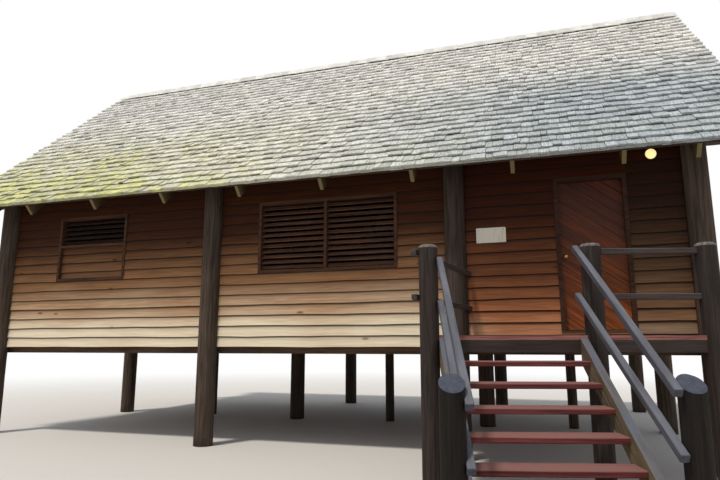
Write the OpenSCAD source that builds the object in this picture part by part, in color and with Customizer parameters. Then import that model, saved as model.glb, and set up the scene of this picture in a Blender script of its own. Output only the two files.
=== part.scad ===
// Stilt house: a timber house framed on round poles, with a gabled shake roof,
// louvred windows, and an entry deck and open stair turned off the line of the front wall.
// X runs along the front from the first pole, Y runs into the house, Z is up, millimetres.

/* [Pole grid] */
// Bay between the first and second front poles
bay_a = 4220; // [3700:10:4500]
// Bay between the second and third front poles
bay_b = 3880; // [3700:10:4500]
// Entry bay between the third and fourth front poles
bay_c = 3050; // [2950:10:3400]
// Distance between the front and the back row of poles
house_d = 7000; // [6400:20:7600]
// Diameter of the house poles
pole_d = 300; // [270:5:320]
// Diameter of the stumps under the middle of each bay
stump_d = 180; // [140:5:240]
// Clearance left where timber is scribed or fitted to a pole, post or stringer
scribe = 0.3; // [0.2:0.1:0.6]

/* [Floor] */
// Height of the house floor above the lowest ground
floor_z = 1640; // [1600:5:1700]
// Thickness of the floor boards
floor_t = 25; // [19:1:35]
// Depth of the floor joists
joist_h = 155; // [120:5:160]
// Thickness of the floor joists
joist_w = 50; // [38:1:60]
// Largest spacing of the floor joists
joist_step = 600; // [450:10:650]
// Depth of the bearers
bearer_h = 100; // [90:5:150]
// Thickness of the bearers
bearer_w = 75; // [60:5:100]

/* [Walls] */
// Distance of the outer wall face behind the centre line of the poles
wall_in = 50; // [40:5:60]
// Thickness of the walls
wall_t = 100; // [90:5:110]
// Thickness of the cladding skirt that covers the edge of the floor
skirt_t = 30; // [20:1:40]
// Height of the top of the walls, where the top plates lie
plate_z = 4010; // [3950:5:4100]
// Half width of the square end stud cut behind each pole
stud_half = 100; // [90:5:110]

/* [Windows] */
// Distance of the small window from the first pole
win_a_x = 1120; // [600:10:1400]
// Width of the small window
win_a_w = 1410; // [1000:10:1800]
// Distance of the wide window from the second pole
win_b_x = 815; // [600:10:1200]
// Width of the wide window
win_b_w = 2225; // [1600:5:2300]
// Height of the bottom of the windows
win_sill_z = 2580; // [2400:10:2800]
// Height of the heads of the windows and the door
head_z = 3700; // [3600:10:3800]
// Width of the window frame members
win_frame_w = 45; // [35:1:60]
// How far the frames stand out past the wall face
frame_out = 35; // [30:1:45]
// Height of the closed panel in the lower half of the small window
panel_h = 540; // [350:10:600]
// Thickness of the closed panel
panel_t = 25; // [15:1:40]
// Width of a louvre blade
blade_w = 95; // [70:1:110]
// Thickness of a louvre blade
blade_t = 12; // [8:1:16]
// Spacing of the louvre blades
blade_pitch = 85; // [78:1:110]
// Slope of the louvre blades, outer edge down
blade_tilt = 40; // [30:1:50]
// Distance of the blade centres behind the wall face
blade_in = 45; // [40:1:60]

/* [Door] */
// Distance from the centre of the fourth pole to the doorway
door_off = 804; // [700:2:900]
// Width of the doorway in the wall
door_w = 910; // [880:5:1000]
// Width of the door frame members
jamb_w = 40; // [32:1:50]
// Width of the stops that the door closes against
stop_w = 12; // [8:1:15]
// Thickness of the door
leaf_t = 40; // [35:1:45]
// Running gap round the door
door_gap = 7; // [6:0.5:9]
// Thickness of the sill board
sill_t = 30; // [25:1:35]
// How far the sill stands out past the wall face
sill_out = 35; // [20:1:45]
// Radius of the hinge barrels
barrel_r = 7; // [6:0.5:9]
// Radius of the hinge pin
pin_r = 3.5; // [3:0.25:4]
// Length of one hinge
hinge_l = 90; // [75:5:110]
// Thickness of the hinge plates
hinge_t = 3; // [2:0.5:4]
// Width of a hinge plate
hinge_w = 32; // [25:1:38]
// Distance of the outer hinges from the ends of the door
hinge_end = 200; // [150:10:300]
// Diameter of the door knobs
knob_d = 54; // [45:1:62]
// Diameter of the neck of a door knob
knob_neck_d = 22; // [18:1:26]
// Reach of a door knob from the face of the door
knob_reach = 68; // [60:1:75]
// Thickness of the rose under a door knob
rose_t = 5; // [3:1:8]
// Height of the door knobs above the floor
knob_h = 1000; // [900:10:1100]
// Distance of the knobs from the edge of the door
knob_in = 65; // [60:1:80]

/* [Plate and light] */
// Width of the number plate
sign_w = 400; // [250:10:500]
// Height of the number plate
sign_h = 210; // [120:5:260]
// Distance of the middle of the number plate from the third pole
sign_x = 490; // [400:5:650]
// Height of the middle of the number plate
sign_z = 2975; // [2700:5:3200]
// Distance of the porch light from the fourth pole
light_off = 490; // [450:5:600]
// Diameter of the porch light globe
globe_d = 130; // [110:5:150]
// Diameter of the round base of the porch light
light_base_d = 140; // [120:5:160]
// Depth of the base of the porch light
light_base_t = 50; // [30:5:60]
// Distance of the middle of the porch light below the top plate
light_drop = 85; // [80:5:160]

/* [Roof] */
// Height of the lower edge of the eaves
eave_z = 3786; // [3700:2:3850]
// Overhang of the eaves past the centre line of the poles
eave_out = 670; // [550:10:800]
// Overhang of the roof past the centre line of the end poles
verge_out = 760; // [600:10:900]
// Pitch of the roof in degrees
roof_pitch = 42.7; // [40:0.1:45]
// Thickness of the shake covering with its battens
roof_t = 85; // [60:1:110]
// Depth of the rafters
rafter_h = 180; // [140:5:200]
// Thickness of the rafters
rafter_w = 50; // [40:1:70]
// Spacing of the rafters
rafter_step = 1320; // [1200:10:1400]
// Place of the first rafter from the first pole
rafter_x0 = -320; // [-380:10:-260]
// Set-back of the rafter tails from the eave edge
tail_set = 20; // [0:5:60]
// Depth of the top plates
plate_h = 150; // [120:5:180]
// Width of the top plates
plate_w = 210; // [180:5:240]
// Depth of the ridge beam
ridge_h = 200; // [160:5:240]
// Width of the ridge beam
ridge_w = 120; // [90:5:150]
// Thickness of the barge boards
barge_t = 35; // [25:1:50]
// Reach of each side of the ridge cap down the slope
cap_w = 220; // [150:5:300]
// Thickness of the ridge cap
cap_t = 30; // [20:1:45]

/* [Deck] */
// Height of the deck surface above the lowest ground
deck_z = 1580; // [1540:5:1600]
// Depth of the deck at its left edge
deck_d = 2010; // [1900:10:2200]
// Angle of the deck's front edge to the house front
skew = 15; // [13:0.5:17]
// Length of the deck's front edge between its outer newels
deck_l = 2865; // [2800:5:2950]
// Thickness of the deck boards
deck_t = 45; // [35:1:50]
// Depth of the deck beams
beam_h = 125; // [100:5:150]
// Thickness of the deck beams
beam_w = 75; // [50:5:90]
// Gap between the deck boards and the wall face
deck_gap = 40; // [35:1:60]
// Diameter of the deck newels
newel_d = 210; // [180:5:230]
// Height of the deck newels above the deck
newel_h = 950; // [900:5:1000]
// Rounding of the tops of the deck newels
newel_round = 35; // [15:5:50]
// Section of the square rails
rail_s = 60; // [50:1:70]
// Height of the middle of the upper deck rail above the deck
rail_hi = 865; // [800:5:900]
// Height of the middle of the lower deck rail above the deck
rail_lo = 395; // [350:5:450]

/* [Stair] */
// Distance between the newels at the head of the stair
stair_head_w = 1690; // [1660:5:1750]
// Distance between the newels at the foot of the stair
stair_foot_w = 1590; // [1570:5:1700]
// Distance down the stair from the head newels to the foot newels
newel_run = 2030; // [1900:10:2200]
// Drop from the deck to the middle of the foot newels' tops
foot_drop = 350; // [300:5:400]
// Diameter of the foot newels
foot_newel_d = 190; // [170:5:200]
// Slope of the cut tops of the foot newels
foot_cut = 33; // [20:1:40]
// Number of treads
treads = 7; // [5:1:7]
// Rise between treads
riser = 188; // [185:1:192]
// Going between tread noses
going = 310; // [302:1:320]
// Drop from the deck to the first tread
first_drop = 250; // [240:1:260]
// Distance from the newel line to the nose of the first tread
first_nose = 330; // [325:1:345]
// Depth of a tread
tread_d = 290; // [270:5:300]
// Thickness of a tread
tread_t = 50; // [40:1:55]
// Thickness of the stringers
stringer_w = 75; // [60:1:80]
// Depth that the stringers are scribed round the newels
stringer_housing = 10; // [5:1:20]
// Depth of the stringers
stringer_h = 225; // [220:5:240]
// Rise of the stringers' top edge above the line of the tread noses
stringer_up = 45; // [30:1:46]
// Height of the upper right stair rail above the deck at the head newel
right_hi = 870; // [820:5:900]
// Drop of the upper right stair rail below the deck at the foot newel
right_hi_drop = 360; // [340:5:400]
// Height of the lower right stair rail above the deck at the head newel
right_lo = 370; // [330:5:420]
// Drop of the lower right stair rail below the deck at the foot newel
right_lo_drop = 770; // [740:5:820]
// Height of the upper left stair rail above the deck at the head newel
left_hi = 820; // [790:5:850]
// Drop of the upper left stair rail below the deck at the foot newel
left_hi_drop = 455; // [430:5:480]
// Height of the lower left stair rail above the deck at the head newel
left_lo = 370; // [340:5:400]
// Drop of the lower left stair rail below the deck at the foot newel
left_lo_drop = 860; // [830:5:885]
// Length of rail that runs on past a newel
rail_past = 100; // [60:5:110]
// Depth that the left stair rails are let into their newels
rail_housing = 20; // [15:1:30]
// Distance along the left rails from the head newel's centre to where they begin
rail_begin = 60; // [40:5:65]

/* [Hidden] */
$fn = 64;
eps = 1;

// Places along the front
x_b = bay_a;
x_c = bay_a + bay_b;
x_d = bay_a + bay_b + bay_c;
columns = [0, x_b, x_c, x_d];
half_d = house_d / 2;
verge_l = -verge_out;
verge_r = x_d + verge_out;

// Levels of the floor
joist_top = floor_z - floor_t;
joist_base = joist_top - joist_h;
bearer_base = joist_base - bearer_h;
wall_base = joist_base;
wall_back = wall_in + wall_t;
rim_y = wall_in + skirt_t;

// Doorway and door
door_r = x_d - door_off;
door_l = door_r - door_w;
frame_front = wall_in - frame_out;
leaf_y = wall_back - leaf_t;
leaf_l = door_l + jamb_w + door_gap;
leaf_r = door_r - jamb_w - door_gap;
leaf_base = floor_z + sill_t + door_gap;
leaf_top = head_z - jamb_w - door_gap;
hinge_x = leaf_r + door_gap / 2;
hinge_y = wall_back + barrel_r;
hinges_z = [leaf_base + hinge_end, (leaf_base + leaf_top) / 2, leaf_top - hinge_end];

// Roof lines, as heights at a distance y behind the front poles
function fold(y) = min(y, house_d - y);
function roof_under(y) = eave_z + (fold(y) + eave_out) * tan(roof_pitch);
function roof_top(y) = roof_under(y) + roof_t / cos(roof_pitch);
function rafter_under(y) = roof_under(y) - rafter_h / cos(roof_pitch);
plate_y0 = wall_back - plate_w;
plate_top = plate_z + plate_h;
ridge_top = rafter_under(half_d);
ridge_base = ridge_top - ridge_h;
rafters_x = [for (x = rafter_x0; x < verge_r - barge_t - rafter_w; x = x + rafter_step) x];
gable_rafters_x = [wall_in, x_d - wall_in - rafter_w];

// Deck and stair, set out from the left newel along the skewed front edge and down the stair
newel_l = [x_c, -deck_d];
function from_newel(w, s) = newel_l + w * [cos(skew), sin(skew)] + s * [sin(skew), -cos(skew)];
head_l = from_newel(0, 0);
head_r = from_newel(stair_head_w, 0);
corner = from_newel(deck_l, 0);
foot_l = from_newel(0, newel_run);
foot_r = from_newel(stair_foot_w, newel_run);
beam_top = deck_z - deck_t;
beam_base = beam_top - beam_h;
rail_off = newel_d / 2 + rail_s / 2 + scribe;
stair_slope = atan(riser / going);

// Plain solids between stated limits
module box(x0, x1, y0, y1, z0, z1)
  translate([x0, y0, z0]) cube([x1 - x0, y1 - y0, z1 - z0]);

module post(p, d, z0, z1)
  translate([p[0], p[1], z0]) cylinder(d = d, h = z1 - z0);

// A profile drawn in Y and Z, carried along X
module along_x(x0, x1)
  translate([x0, 0, 0]) rotate([90, 0, 90]) linear_extrude(x1 - x0) children();

// The back of the house repeats the front about its middle line
module to_back()
  translate([0, house_d, 0]) mirror([0, 1, 0]) children();

module to_right()
  translate([x_d, 0, 0]) mirror([1, 0, 0]) children();

// A straight bar of section w by h between two points, its ends square
module bar(p, q, w, h, before = 0, past = 0) {
  d = q - p;
  flat = norm([d[0], d[1]]);
  translate(p)
    rotate([0, -atan2(d[2], flat), atan2(d[1], d[0])])
      translate([-before, -w / 2, -h / 2])
        cube([norm(d) + before + past, w, h]);
}

// Room cut out of a piece that is scribed round a pole or a newel
module scribed_poles(y)
  for (x = columns) post([x, y], pole_d + 2 * scribe, 0, ridge_top);

module scribed_newels() {
  for (p = [head_l, head_r, corner]) post(p, newel_d + 2 * scribe, 0, ridge_top);
  for (p = [foot_l, foot_r]) post(p, foot_newel_d + 2 * scribe, 0, ridge_top);
}

// Poles and stumps
module front_poles() color("dimgray")
  for (x = columns) post([x, 0], pole_d, 0, plate_z);

module ridge_poles() color("dimgray")
  for (x = columns) post([x, half_d], pole_d, 0, ridge_base);

module back_poles() color("dimgray")
  to_back() front_poles();

module floor_stumps() color("dimgray")
  for (i = [0:2])
    post([(columns[i] + columns[i + 1]) / 2, half_d + pole_d / 2 + bearer_w / 2],
      stump_d, 0, bearer_base);

// Floor
bearer_ys = [pole_d / 2 + scribe, half_d + pole_d / 2 + scribe,
  house_d - pole_d / 2 - scribe - bearer_w];

module bearers() color("saddlebrown")
  for (y = bearer_ys)
    box(-pole_d / 4, x_d + pole_d / 4, y, y + bearer_w, bearer_base, joist_base);

module rim_joists() color("sienna")
  difference() {
    box(rim_y, x_d - rim_y, rim_y, house_d - rim_y, joist_base, joist_top);
    box(rim_y + joist_w, x_d - rim_y - joist_w, rim_y + joist_w, house_d - rim_y - joist_w,
      joist_base - eps, joist_top + eps);
    for (y = [0, half_d, house_d]) scribed_poles(y);
  }

module floor_joists() color("peru")
  for (i = [0:2]) {
    clear = columns[i + 1] - columns[i] - pole_d - 2 * joist_w;
    steps = ceil((clear - joist_w) / joist_step);
    for (k = [0:steps])
      let (x = columns[i] + pole_d / 2 + joist_w + k * (clear - joist_w) / steps)
        box(x, x + joist_w, rim_y + joist_w, house_d - rim_y - joist_w, joist_base, joist_top);
  }

module floor_boards() color("burlywood")
  difference() {
    box(rim_y, x_d - rim_y, rim_y, house_d - rim_y, joist_top, floor_z);
    for (y = [0, half_d, house_d]) scribed_poles(y);
  }

// Walls: a framed wall on the floor, with a skirt that hangs over the floor's edge
module wall_run(x0, x1, z0, z1)
  difference() {
    union() {
      box(x0, x1, wall_in, wall_back, max(z0, floor_z), z1);
      if (z0 < floor_z) box(x0, x1, wall_in, rim_y, z0, floor_z);
    }
    scribed_poles(0);
    for (x = [x_b, x_c])
      box(x - stud_half, x + stud_half, wall_in - eps, wall_back + eps, 0, plate_z + eps);
  }

module window_hole(x, w)
  box(x, x + w, wall_in - eps, wall_back + eps, win_sill_z, head_z);

module wall_a() difference() {
  wall_run(wall_in, x_b, wall_base, plate_z);
  window_hole(win_a_x, win_a_w);
}

module wall_b() difference() {
  wall_run(x_b, x_c, wall_base, plate_z);
  window_hole(x_b + win_b_x, win_b_w);
}

module front_wall_a() color("sienna") wall_a();
module front_wall_b() color("sienna") wall_b();
module front_wall_c_left() color("sienna") wall_run(x_c, door_l, wall_base, plate_z);
module front_wall_c_right() color("sienna") wall_run(door_r, x_d - wall_in, wall_base, plate_z);
module front_wall_over_door() color("sienna") wall_run(door_l, door_r, head_z, plate_z);
module back_wall_a() color("sienna") to_back() wall_a();
module back_wall_b() color("sienna") to_back() wall_b();
module back_wall_c() color("sienna") to_back() wall_run(x_c, x_d - wall_in, wall_base, plate_z);

// Half of a gable wall, from the front wall back to the middle pole
plate_reach = (plate_top - rafter_under(0)) / tan(roof_pitch);

module gable_half() {
  along_x(wall_in, wall_back)
    polygon([[wall_back, floor_z], [half_d, floor_z], [half_d, rafter_under(half_d)],
      [plate_reach, plate_top], [wall_back, plate_top]]);
  box(wall_in, rim_y, wall_back, half_d, wall_base, floor_z);
}

module gable_wall() difference() {
  union() {
    gable_half();
    to_back() gable_half();
  }
  scribed_poles(half_d);
  box(wall_in - eps, wall_back + eps, half_d - stud_half, half_d + stud_half, 0, ridge_base);
  ridge_timber();
}

module left_gable_wall() color("sienna") gable_wall();
module right_gable_wall() color("sienna") to_right() gable_wall();

// Windows: a frame round the opening, one bar across or down it, and sloped blades
module frame_ring(x, w, bars)
  difference() {
    box(x, x + w, frame_front, wall_back, win_sill_z, head_z);
    for (b = bars)
      box(x + b[0], x + b[1], frame_front - eps, wall_back + eps, b[2], b[3]);
  }

win_low = win_sill_z + win_frame_w;
win_high = head_z - win_frame_w;
panel_top = win_low + panel_h;
mullion_l = win_b_w / 2 - win_frame_w / 2;
mullion_r = win_b_w / 2 + win_frame_w / 2;

module blade_profile()
  translate([wall_in + blade_in, 0]) rotate(blade_tilt) union() {
    translate([-blade_w / 2 + blade_t / 2, -blade_t / 2]) square([blade_w - blade_t, blade_t]);
    for (s = [-1, 1])
      translate([s * (blade_w - blade_t) / 2, 0]) circle(d = blade_t);
  }

module blade_set(x0, x1, z0, z1) {
  count = floor((z1 - z0) / blade_pitch);
  margin = (z1 - z0 - count * blade_pitch) / 2;
  for (i = [0:count - 1])
    translate([0, 0, z0 + margin + (i + 0.5) * blade_pitch])
      along_x(x0, x1) blade_profile();
}

module frame_a() frame_ring(win_a_x, win_a_w, [
  [win_frame_w, win_a_w - win_frame_w, win_low, panel_top],
  [win_frame_w, win_a_w - win_frame_w, panel_top + win_frame_w, win_high]]);
module louvres_a() blade_set(win_a_x + win_frame_w, win_a_x + win_a_w - win_frame_w,
  panel_top + win_frame_w, win_high);
module panel_a() box(win_a_x + win_frame_w, win_a_x + win_a_w - win_frame_w,
  wall_in + blade_in - panel_t, wall_in + blade_in, win_low, panel_top);

module frame_b() frame_ring(x_b + win_b_x, win_b_w, [
  [win_frame_w, mullion_l, win_low, win_high],
  [mullion_r, win_b_w - win_frame_w, win_low, win_high]]);
module louvres_b()
  for (b = [[win_frame_w, mullion_l], [mullion_r, win_b_w - win_frame_w]])
    blade_set(x_b + win_b_x + b[0], x_b + win_b_x + b[1], win_low, win_high);

module window_a_frame() color("peru") frame_a();
module window_a_louvres() color("tan") louvres_a();
module window_a_panel() color("burlywood") panel_a();
module window_b_frame() color("peru") frame_b();
module window_b_louvres() color("tan") louvres_b();
module back_window_frames() color("peru") to_back() {
  frame_a();
  frame_b();
}
module back_window_louvres() color("tan") to_back() {
  louvres_a();
  louvres_b();
}
module back_window_panel() color("burlywood") to_back() panel_a();

// Door frame with a rebate for the door, open at the foot where it stands on the sill
module door_frame() color("peru") difference() {
  box(door_l, door_r, frame_front, wall_back, floor_z + sill_t, head_z);
  box(door_l + jamb_w + stop_w, door_r - jamb_w - stop_w, frame_front - eps, wall_back + eps,
    floor_z, head_z - jamb_w - stop_w);
  box(door_l + jamb_w, door_r - jamb_w, leaf_y - door_gap, wall_back + eps,
    floor_z, head_z - jamb_w);
}

module door_sill() color("saddlebrown") {
  box(door_l, door_r, wall_in - sill_out, wall_back, floor_z, floor_z + sill_t);
  box(door_l, door_r, wall_in, rim_y, wall_base, floor_z);
}

module entry_door() color("chocolate")
  box(leaf_l, leaf_r, leaf_y, wall_back, leaf_base, leaf_top);

// One knob on its rose, turned about the axis through the door
knob_half = 20;

module knob() rotate([90, 0, 0]) rotate_extrude()
  polygon(concat([[0, 0], [knob_d / 2, 0], [knob_d / 2, rose_t], [knob_neck_d / 2, rose_t],
    [knob_neck_d / 2, knob_reach - 2 * knob_half]],
    [for (a = [-60:15:90]) [knob_d / 2 * cos(a), knob_reach - knob_half + knob_half * sin(a)]]));

module door_knobs() color("goldenrod")
  translate([leaf_l + knob_in, 0, floor_z + knob_h]) {
    translate([0, leaf_y, 0]) knob();
    translate([0, wall_back, 0]) rotate([0, 0, 180]) knob();
  }

// The middle knuckle and its plate turn with the door, the outer knuckles and the pin stay
knuckle_clear = 1;

module door_hinge_plates() color("silver")
  for (z = hinges_z) difference() {
    union() {
      post([hinge_x, hinge_y], 2 * barrel_r, z - hinge_l / 6, z + hinge_l / 6);
      box(hinge_x - hinge_w, hinge_x, wall_back, wall_back + hinge_t,
        z - hinge_l / 6, z + hinge_l / 6);
      box(hinge_x - hinge_w, hinge_x - barrel_r - knuckle_clear, wall_back, wall_back + hinge_t,
        z - hinge_l / 2, z + hinge_l / 2);
    }
    post([hinge_x, hinge_y], 2 * (pin_r + scribe), z - hinge_l, z + hinge_l);
  }

module door_hinge_pins() color("silver")
  for (z = hinges_z) {
    post([hinge_x, hinge_y], 2 * pin_r, z - hinge_l / 2, z + hinge_l / 2);
    for (s = [-1, 1])
      translate([0, 0, z + s * hinge_l / 3]) {
        post([hinge_x, hinge_y], 2 * barrel_r, -hinge_l / 6 + scribe, hinge_l / 6 - scribe);
        box(hinge_x, hinge_x + hinge_w, wall_back, wall_back + hinge_t,
          -hinge_l / 6 + scribe, hinge_l / 6 - scribe);
      }
    box(hinge_x + barrel_r + knuckle_clear, hinge_x + hinge_w, wall_back, wall_back + hinge_t,
      z - hinge_l / 2, z + hinge_l / 2);
  }

// Plate and porch light on the entry wall
module number_plate() color("ivory")
  box(x_c + sign_x - sign_w / 2, x_c + sign_x + sign_w / 2, frame_front, wall_in,
    sign_z - sign_h / 2, sign_z + sign_h / 2);

light_x = x_d - light_off;
light_z = plate_z - light_drop;

module porch_light_base() color("dimgray")
  translate([light_x, wall_in, light_z]) rotate([90, 0, 0]) cylinder(d = light_base_d, h = light_base_t);

module porch_light_globe() color("khaki")
  translate([light_x, wall_in - light_base_t, light_z]) rotate([90, 0, 0]) difference() {
    sphere(d = globe_d);
    translate([0, 0, -globe_d]) cylinder(d = 2 * globe_d, h = globe_d);
  }

// Roof timbers
module plate_timber()
  box(verge_l + barge_t, verge_r - barge_t, plate_y0, wall_back, plate_z, plate_top);

module ridge_timber()
  box(verge_l + barge_t, verge_r - barge_t, half_d - ridge_w / 2, half_d + ridge_w / 2,
    ridge_base, ridge_top);

module top_plates() color("saddlebrown") {
  plate_timber();
  to_back() plate_timber();
}

module ridge_beam() color("saddlebrown") ridge_timber();

tail = [tail_set * cos(roof_pitch) - eave_out, eave_z + tail_set * sin(roof_pitch)];

module rafter(x) along_x(x, x + rafter_w)
  polygon([tail, tail + rafter_h * [sin(roof_pitch), -cos(roof_pitch)],
    [half_d, rafter_under(half_d)], [half_d, roof_under(half_d)]]);

module rafter_set() difference() {
  for (x = concat(rafters_x, gable_rafters_x)) rafter(x);
  plate_timber();
  ridge_timber();
}

module front_rafters() color("peru") rafter_set();
module back_rafters() color("peru") to_back() rafter_set();

// Shake covering of one slope, its eave cut square to the slope
module roof_slope() along_x(verge_l, verge_r)
  polygon([[-eave_out, eave_z], [half_d, roof_under(half_d)], [half_d, roof_top(half_d)],
    [-eave_out, eave_z] + roof_t * [-sin(roof_pitch), cos(roof_pitch)]]);

module roof_front() color("darkgray") roof_slope();
module roof_back() color("darkgray") to_back() roof_slope();

cap_y = half_d - cap_w * cos(roof_pitch);

module ridge_cap() color("gray") along_x(verge_l, verge_r)
  polygon([[cap_y, roof_top(cap_y)], [half_d, roof_top(half_d)], [house_d - cap_y, roof_top(cap_y)],
    [house_d - cap_y, roof_top(cap_y) + cap_t / cos(roof_pitch)],
    [half_d, roof_top(half_d) + cap_t / cos(roof_pitch)],
    [cap_y, roof_top(cap_y) + cap_t / cos(roof_pitch)]]);

module barge(x) along_x(x, x + barge_t)
  polygon([tail, [half_d, roof_under(half_d)], [house_d - tail[0], tail[1]],
    [house_d - tail[0], tail[1]] + rafter_h * [-sin(roof_pitch), -cos(roof_pitch)],
    [half_d, rafter_under(half_d)],
    tail + rafter_h * [sin(roof_pitch), -cos(roof_pitch)]]);

module barge_boards() color("saddlebrown") {
  barge(verge_l);
  barge(verge_r - barge_t);
}

// Newels: the deck newels have rounded tops, the foot newels are cut on a slope
module deck_newel(p) translate([p[0], p[1], 0]) rotate_extrude()
  union() {
    square([newel_d / 2, deck_z + newel_h - newel_round]);
    square([newel_d / 2 - newel_round, deck_z + newel_h]);
    translate([newel_d / 2 - newel_round, deck_z + newel_h - newel_round])
      intersection() {
        circle(r = newel_round);
        square(newel_round);
      }
  }

module foot_newel(p) translate([p[0], p[1], 0]) difference() {
  cylinder(d = foot_newel_d, h = deck_z);
  translate([0, 0, deck_z - foot_drop]) rotate([0, 0, skew]) rotate([foot_cut, 0, 0])
    translate([-deck_z, -deck_z, 0]) cube(2 * deck_z);
}

module newel_posts() color("dimgray") difference() {
  union() {
    for (p = [head_l, head_r, corner]) deck_newel(p);
    for (p = [foot_l, foot_r]) foot_newel(p);
  }
  left_stair_rails(scribe);
}

// Deck beams run from post to post, and a ledger lies between the entry poles
module deck_beam(p, q)
  bar([p[0], p[1], beam_top - beam_h / 2], [q[0], q[1], beam_top - beam_h / 2], beam_w, beam_h);

ledger_y = wall_in - deck_gap;

module deck_frame() color("sienna") difference() {
  union() {
    deck_beam([x_c, 0], head_l);
    deck_beam(head_l, corner);
    deck_beam(corner, [x_d, 0]);
    box(x_c, x_d, ledger_y - beam_w, ledger_y, beam_base, beam_top);
  }
  scribed_poles(0);
  scribed_newels();
}

// The deck reaches past its beams' centre lines by half a beam
function cross2(a, b) = a[0] * b[1] - a[1] * b[0];
function meet(p, d, q, e) = p + d * cross2(q - p, e) / cross2(d, e);
function out_of(d) = [d[1], -d[0]] / norm(d) * beam_w / 2;
front_run = corner - head_l;
right_run = [x_d, 0] - corner;
deck_left = x_c - beam_w / 2;

module deck_boards() color("rosybrown") difference() {
  translate([0, 0, beam_top]) linear_extrude(deck_t) polygon([
    [deck_left, ledger_y],
    meet([deck_left, 0], [0, 1], head_l + out_of(front_run), front_run),
    meet(head_l + out_of(front_run), front_run, corner + out_of(right_run), right_run),
    meet(corner + out_of(right_run), right_run, [0, ledger_y], [1, 0])]);
  scribed_poles(0);
  scribed_newels();
}

// Deck rails: the left pair passes outside its newel and meets the right side of its pole
function lift(p, z) = [p[0], p[1], z];
rail_start = head_l + [-rail_off, -newel_d / 2];
rail_end = [x_c + (pole_d + rail_s) / 2 + 3 * scribe, 0];

module deck_rails() color("dimgray")
  for (z = [rail_hi, rail_lo]) difference() {
    union() {
      bar(lift(rail_start, deck_z + z), lift(rail_end, deck_z + z), rail_s, rail_s);
      bar(lift(head_r, deck_z + z), lift(corner, deck_z + z), rail_s, rail_s);
      bar(lift(corner, deck_z + z), lift([x_d, 0], deck_z + z), rail_s, rail_s);
    }
    scribed_poles(0);
    scribed_newels();
  }

// Stair: stringers beside the treads, and rails on the inner faces of the newels, the left ones let in
module on_stair()
  translate([head_l[0], head_l[1], 0]) rotate([0, 0, skew]) children();

function nose_z(s) = deck_z - first_drop - (s - first_nose) * tan(stair_slope);
stringer_head = beam_w / 2 + scribe;
stringer_drop = stringer_h / cos(stair_slope);
stringer_foot = first_nose + (treads - 1) * going + tread_t;
stringer_heel = first_nose + (deck_z - first_drop + stringer_up - stringer_drop) / tan(stair_slope);
stringer_end = stringer_foot + eps;

// The stair draws in towards its foot, so both stringers follow the line of their newels
foot_thinner = (newel_d - foot_newel_d) / 2;
function left_face(s) = newel_d / 2 - stringer_housing - foot_thinner * s / newel_run;
function right_face(s) = stair_head_w - newel_d / 2 + stringer_housing
  - (stair_head_w - stair_foot_w - foot_thinner) * s / newel_run;
function left_in(s) = left_face(s) + stringer_w;
function right_in(s) = right_face(s) - stringer_w;

module plan_strip(w0, w1, w2, w3, s0, s1, h)
  linear_extrude(h) polygon([[w0, -s0], [w1, -s0], [w2, -s1], [w3, -s1]]);

module stair_stringers() color("saddlebrown") difference() {
  on_stair() intersection() {
    mirror([0, 1, 0]) along_x(0, stair_head_w)
      polygon([[stringer_head, nose_z(stringer_head) + stringer_up],
        [stringer_foot, nose_z(stringer_foot) + stringer_up], [stringer_foot, 0], [stringer_heel, 0],
        [stringer_head, nose_z(stringer_head) + stringer_up - stringer_drop]]);
    union() {
      plan_strip(left_face(0), left_in(0), left_in(stringer_end), left_face(stringer_end),
        0, stringer_end, deck_z);
      plan_strip(right_in(0), right_face(0), right_face(stringer_end), right_in(stringer_end),
        0, stringer_end, deck_z);
    }
  }
  scribed_newels();
}

module stair_treads() color("indianred") on_stair()
  for (i = [0:treads - 1]) {
    nose = first_nose + i * going;
    back = nose - tread_d;
    translate([0, 0, deck_z - first_drop - i * riser - tread_t])
      plan_strip(left_in(back) + scribe, right_in(back) - scribe,
        right_in(nose) - scribe, left_in(nose) + scribe, back, nose, tread_t);
  }

// Stair rails beside a head and a foot newel, set inwards by side and made larger by grow
module rail_pair(side, head, foot, rails, housing, before, grow = 0)
  for (r = rails) {
    across = side * [cos(skew), sin(skew)];
    beside = rail_s / 2 + scribe - housing;
    bar(lift(head + (newel_d / 2 + beside) * across, deck_z + r[0]),
      lift(foot + (foot_newel_d / 2 + beside) * across, deck_z - r[1]),
      rail_s + 2 * grow, rail_s + 2 * grow, before + grow, rail_past + grow);
  }

module left_stair_rails(grow = 0) rail_pair(1, head_l, foot_l,
  [[left_hi, left_hi_drop], [left_lo, left_lo_drop]], rail_housing, -rail_begin, grow);

module stair_rails() color("slategray") {
  left_stair_rails();
  difference() {
    rail_pair(-1, head_r, foot_r, [[right_hi, right_hi_drop], [right_lo, right_lo_drop]],
      0, rail_past);
    scribed_newels();
  }
}

front_poles();
ridge_poles();
back_poles();
floor_stumps();
bearers();
rim_joists();
floor_joists();
floor_boards();
front_wall_a();
front_wall_b();
front_wall_c_left();
front_wall_c_right();
front_wall_over_door();
left_gable_wall();
right_gable_wall();
back_wall_a();
back_wall_b();
back_wall_c();
window_a_frame();
window_a_louvres();
window_a_panel();
window_b_frame();
window_b_louvres();
back_window_frames();
back_window_louvres();
back_window_panel();
door_frame();
door_sill();
entry_door();
door_knobs();
door_hinge_plates();
door_hinge_pins();
number_plate();
porch_light_base();
porch_light_globe();
top_plates();
ridge_beam();
front_rafters();
back_rafters();
roof_front();
roof_back();
ridge_cap();
barge_boards();
newel_posts();
deck_frame();
deck_boards();
deck_rails();
stair_stringers();
stair_treads();
stair_rails();
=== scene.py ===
import math
import random

import bmesh
import bpy
from bpy.props import FloatProperty, FloatVectorProperty, IntProperty, PointerProperty
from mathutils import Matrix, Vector, noise


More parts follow.
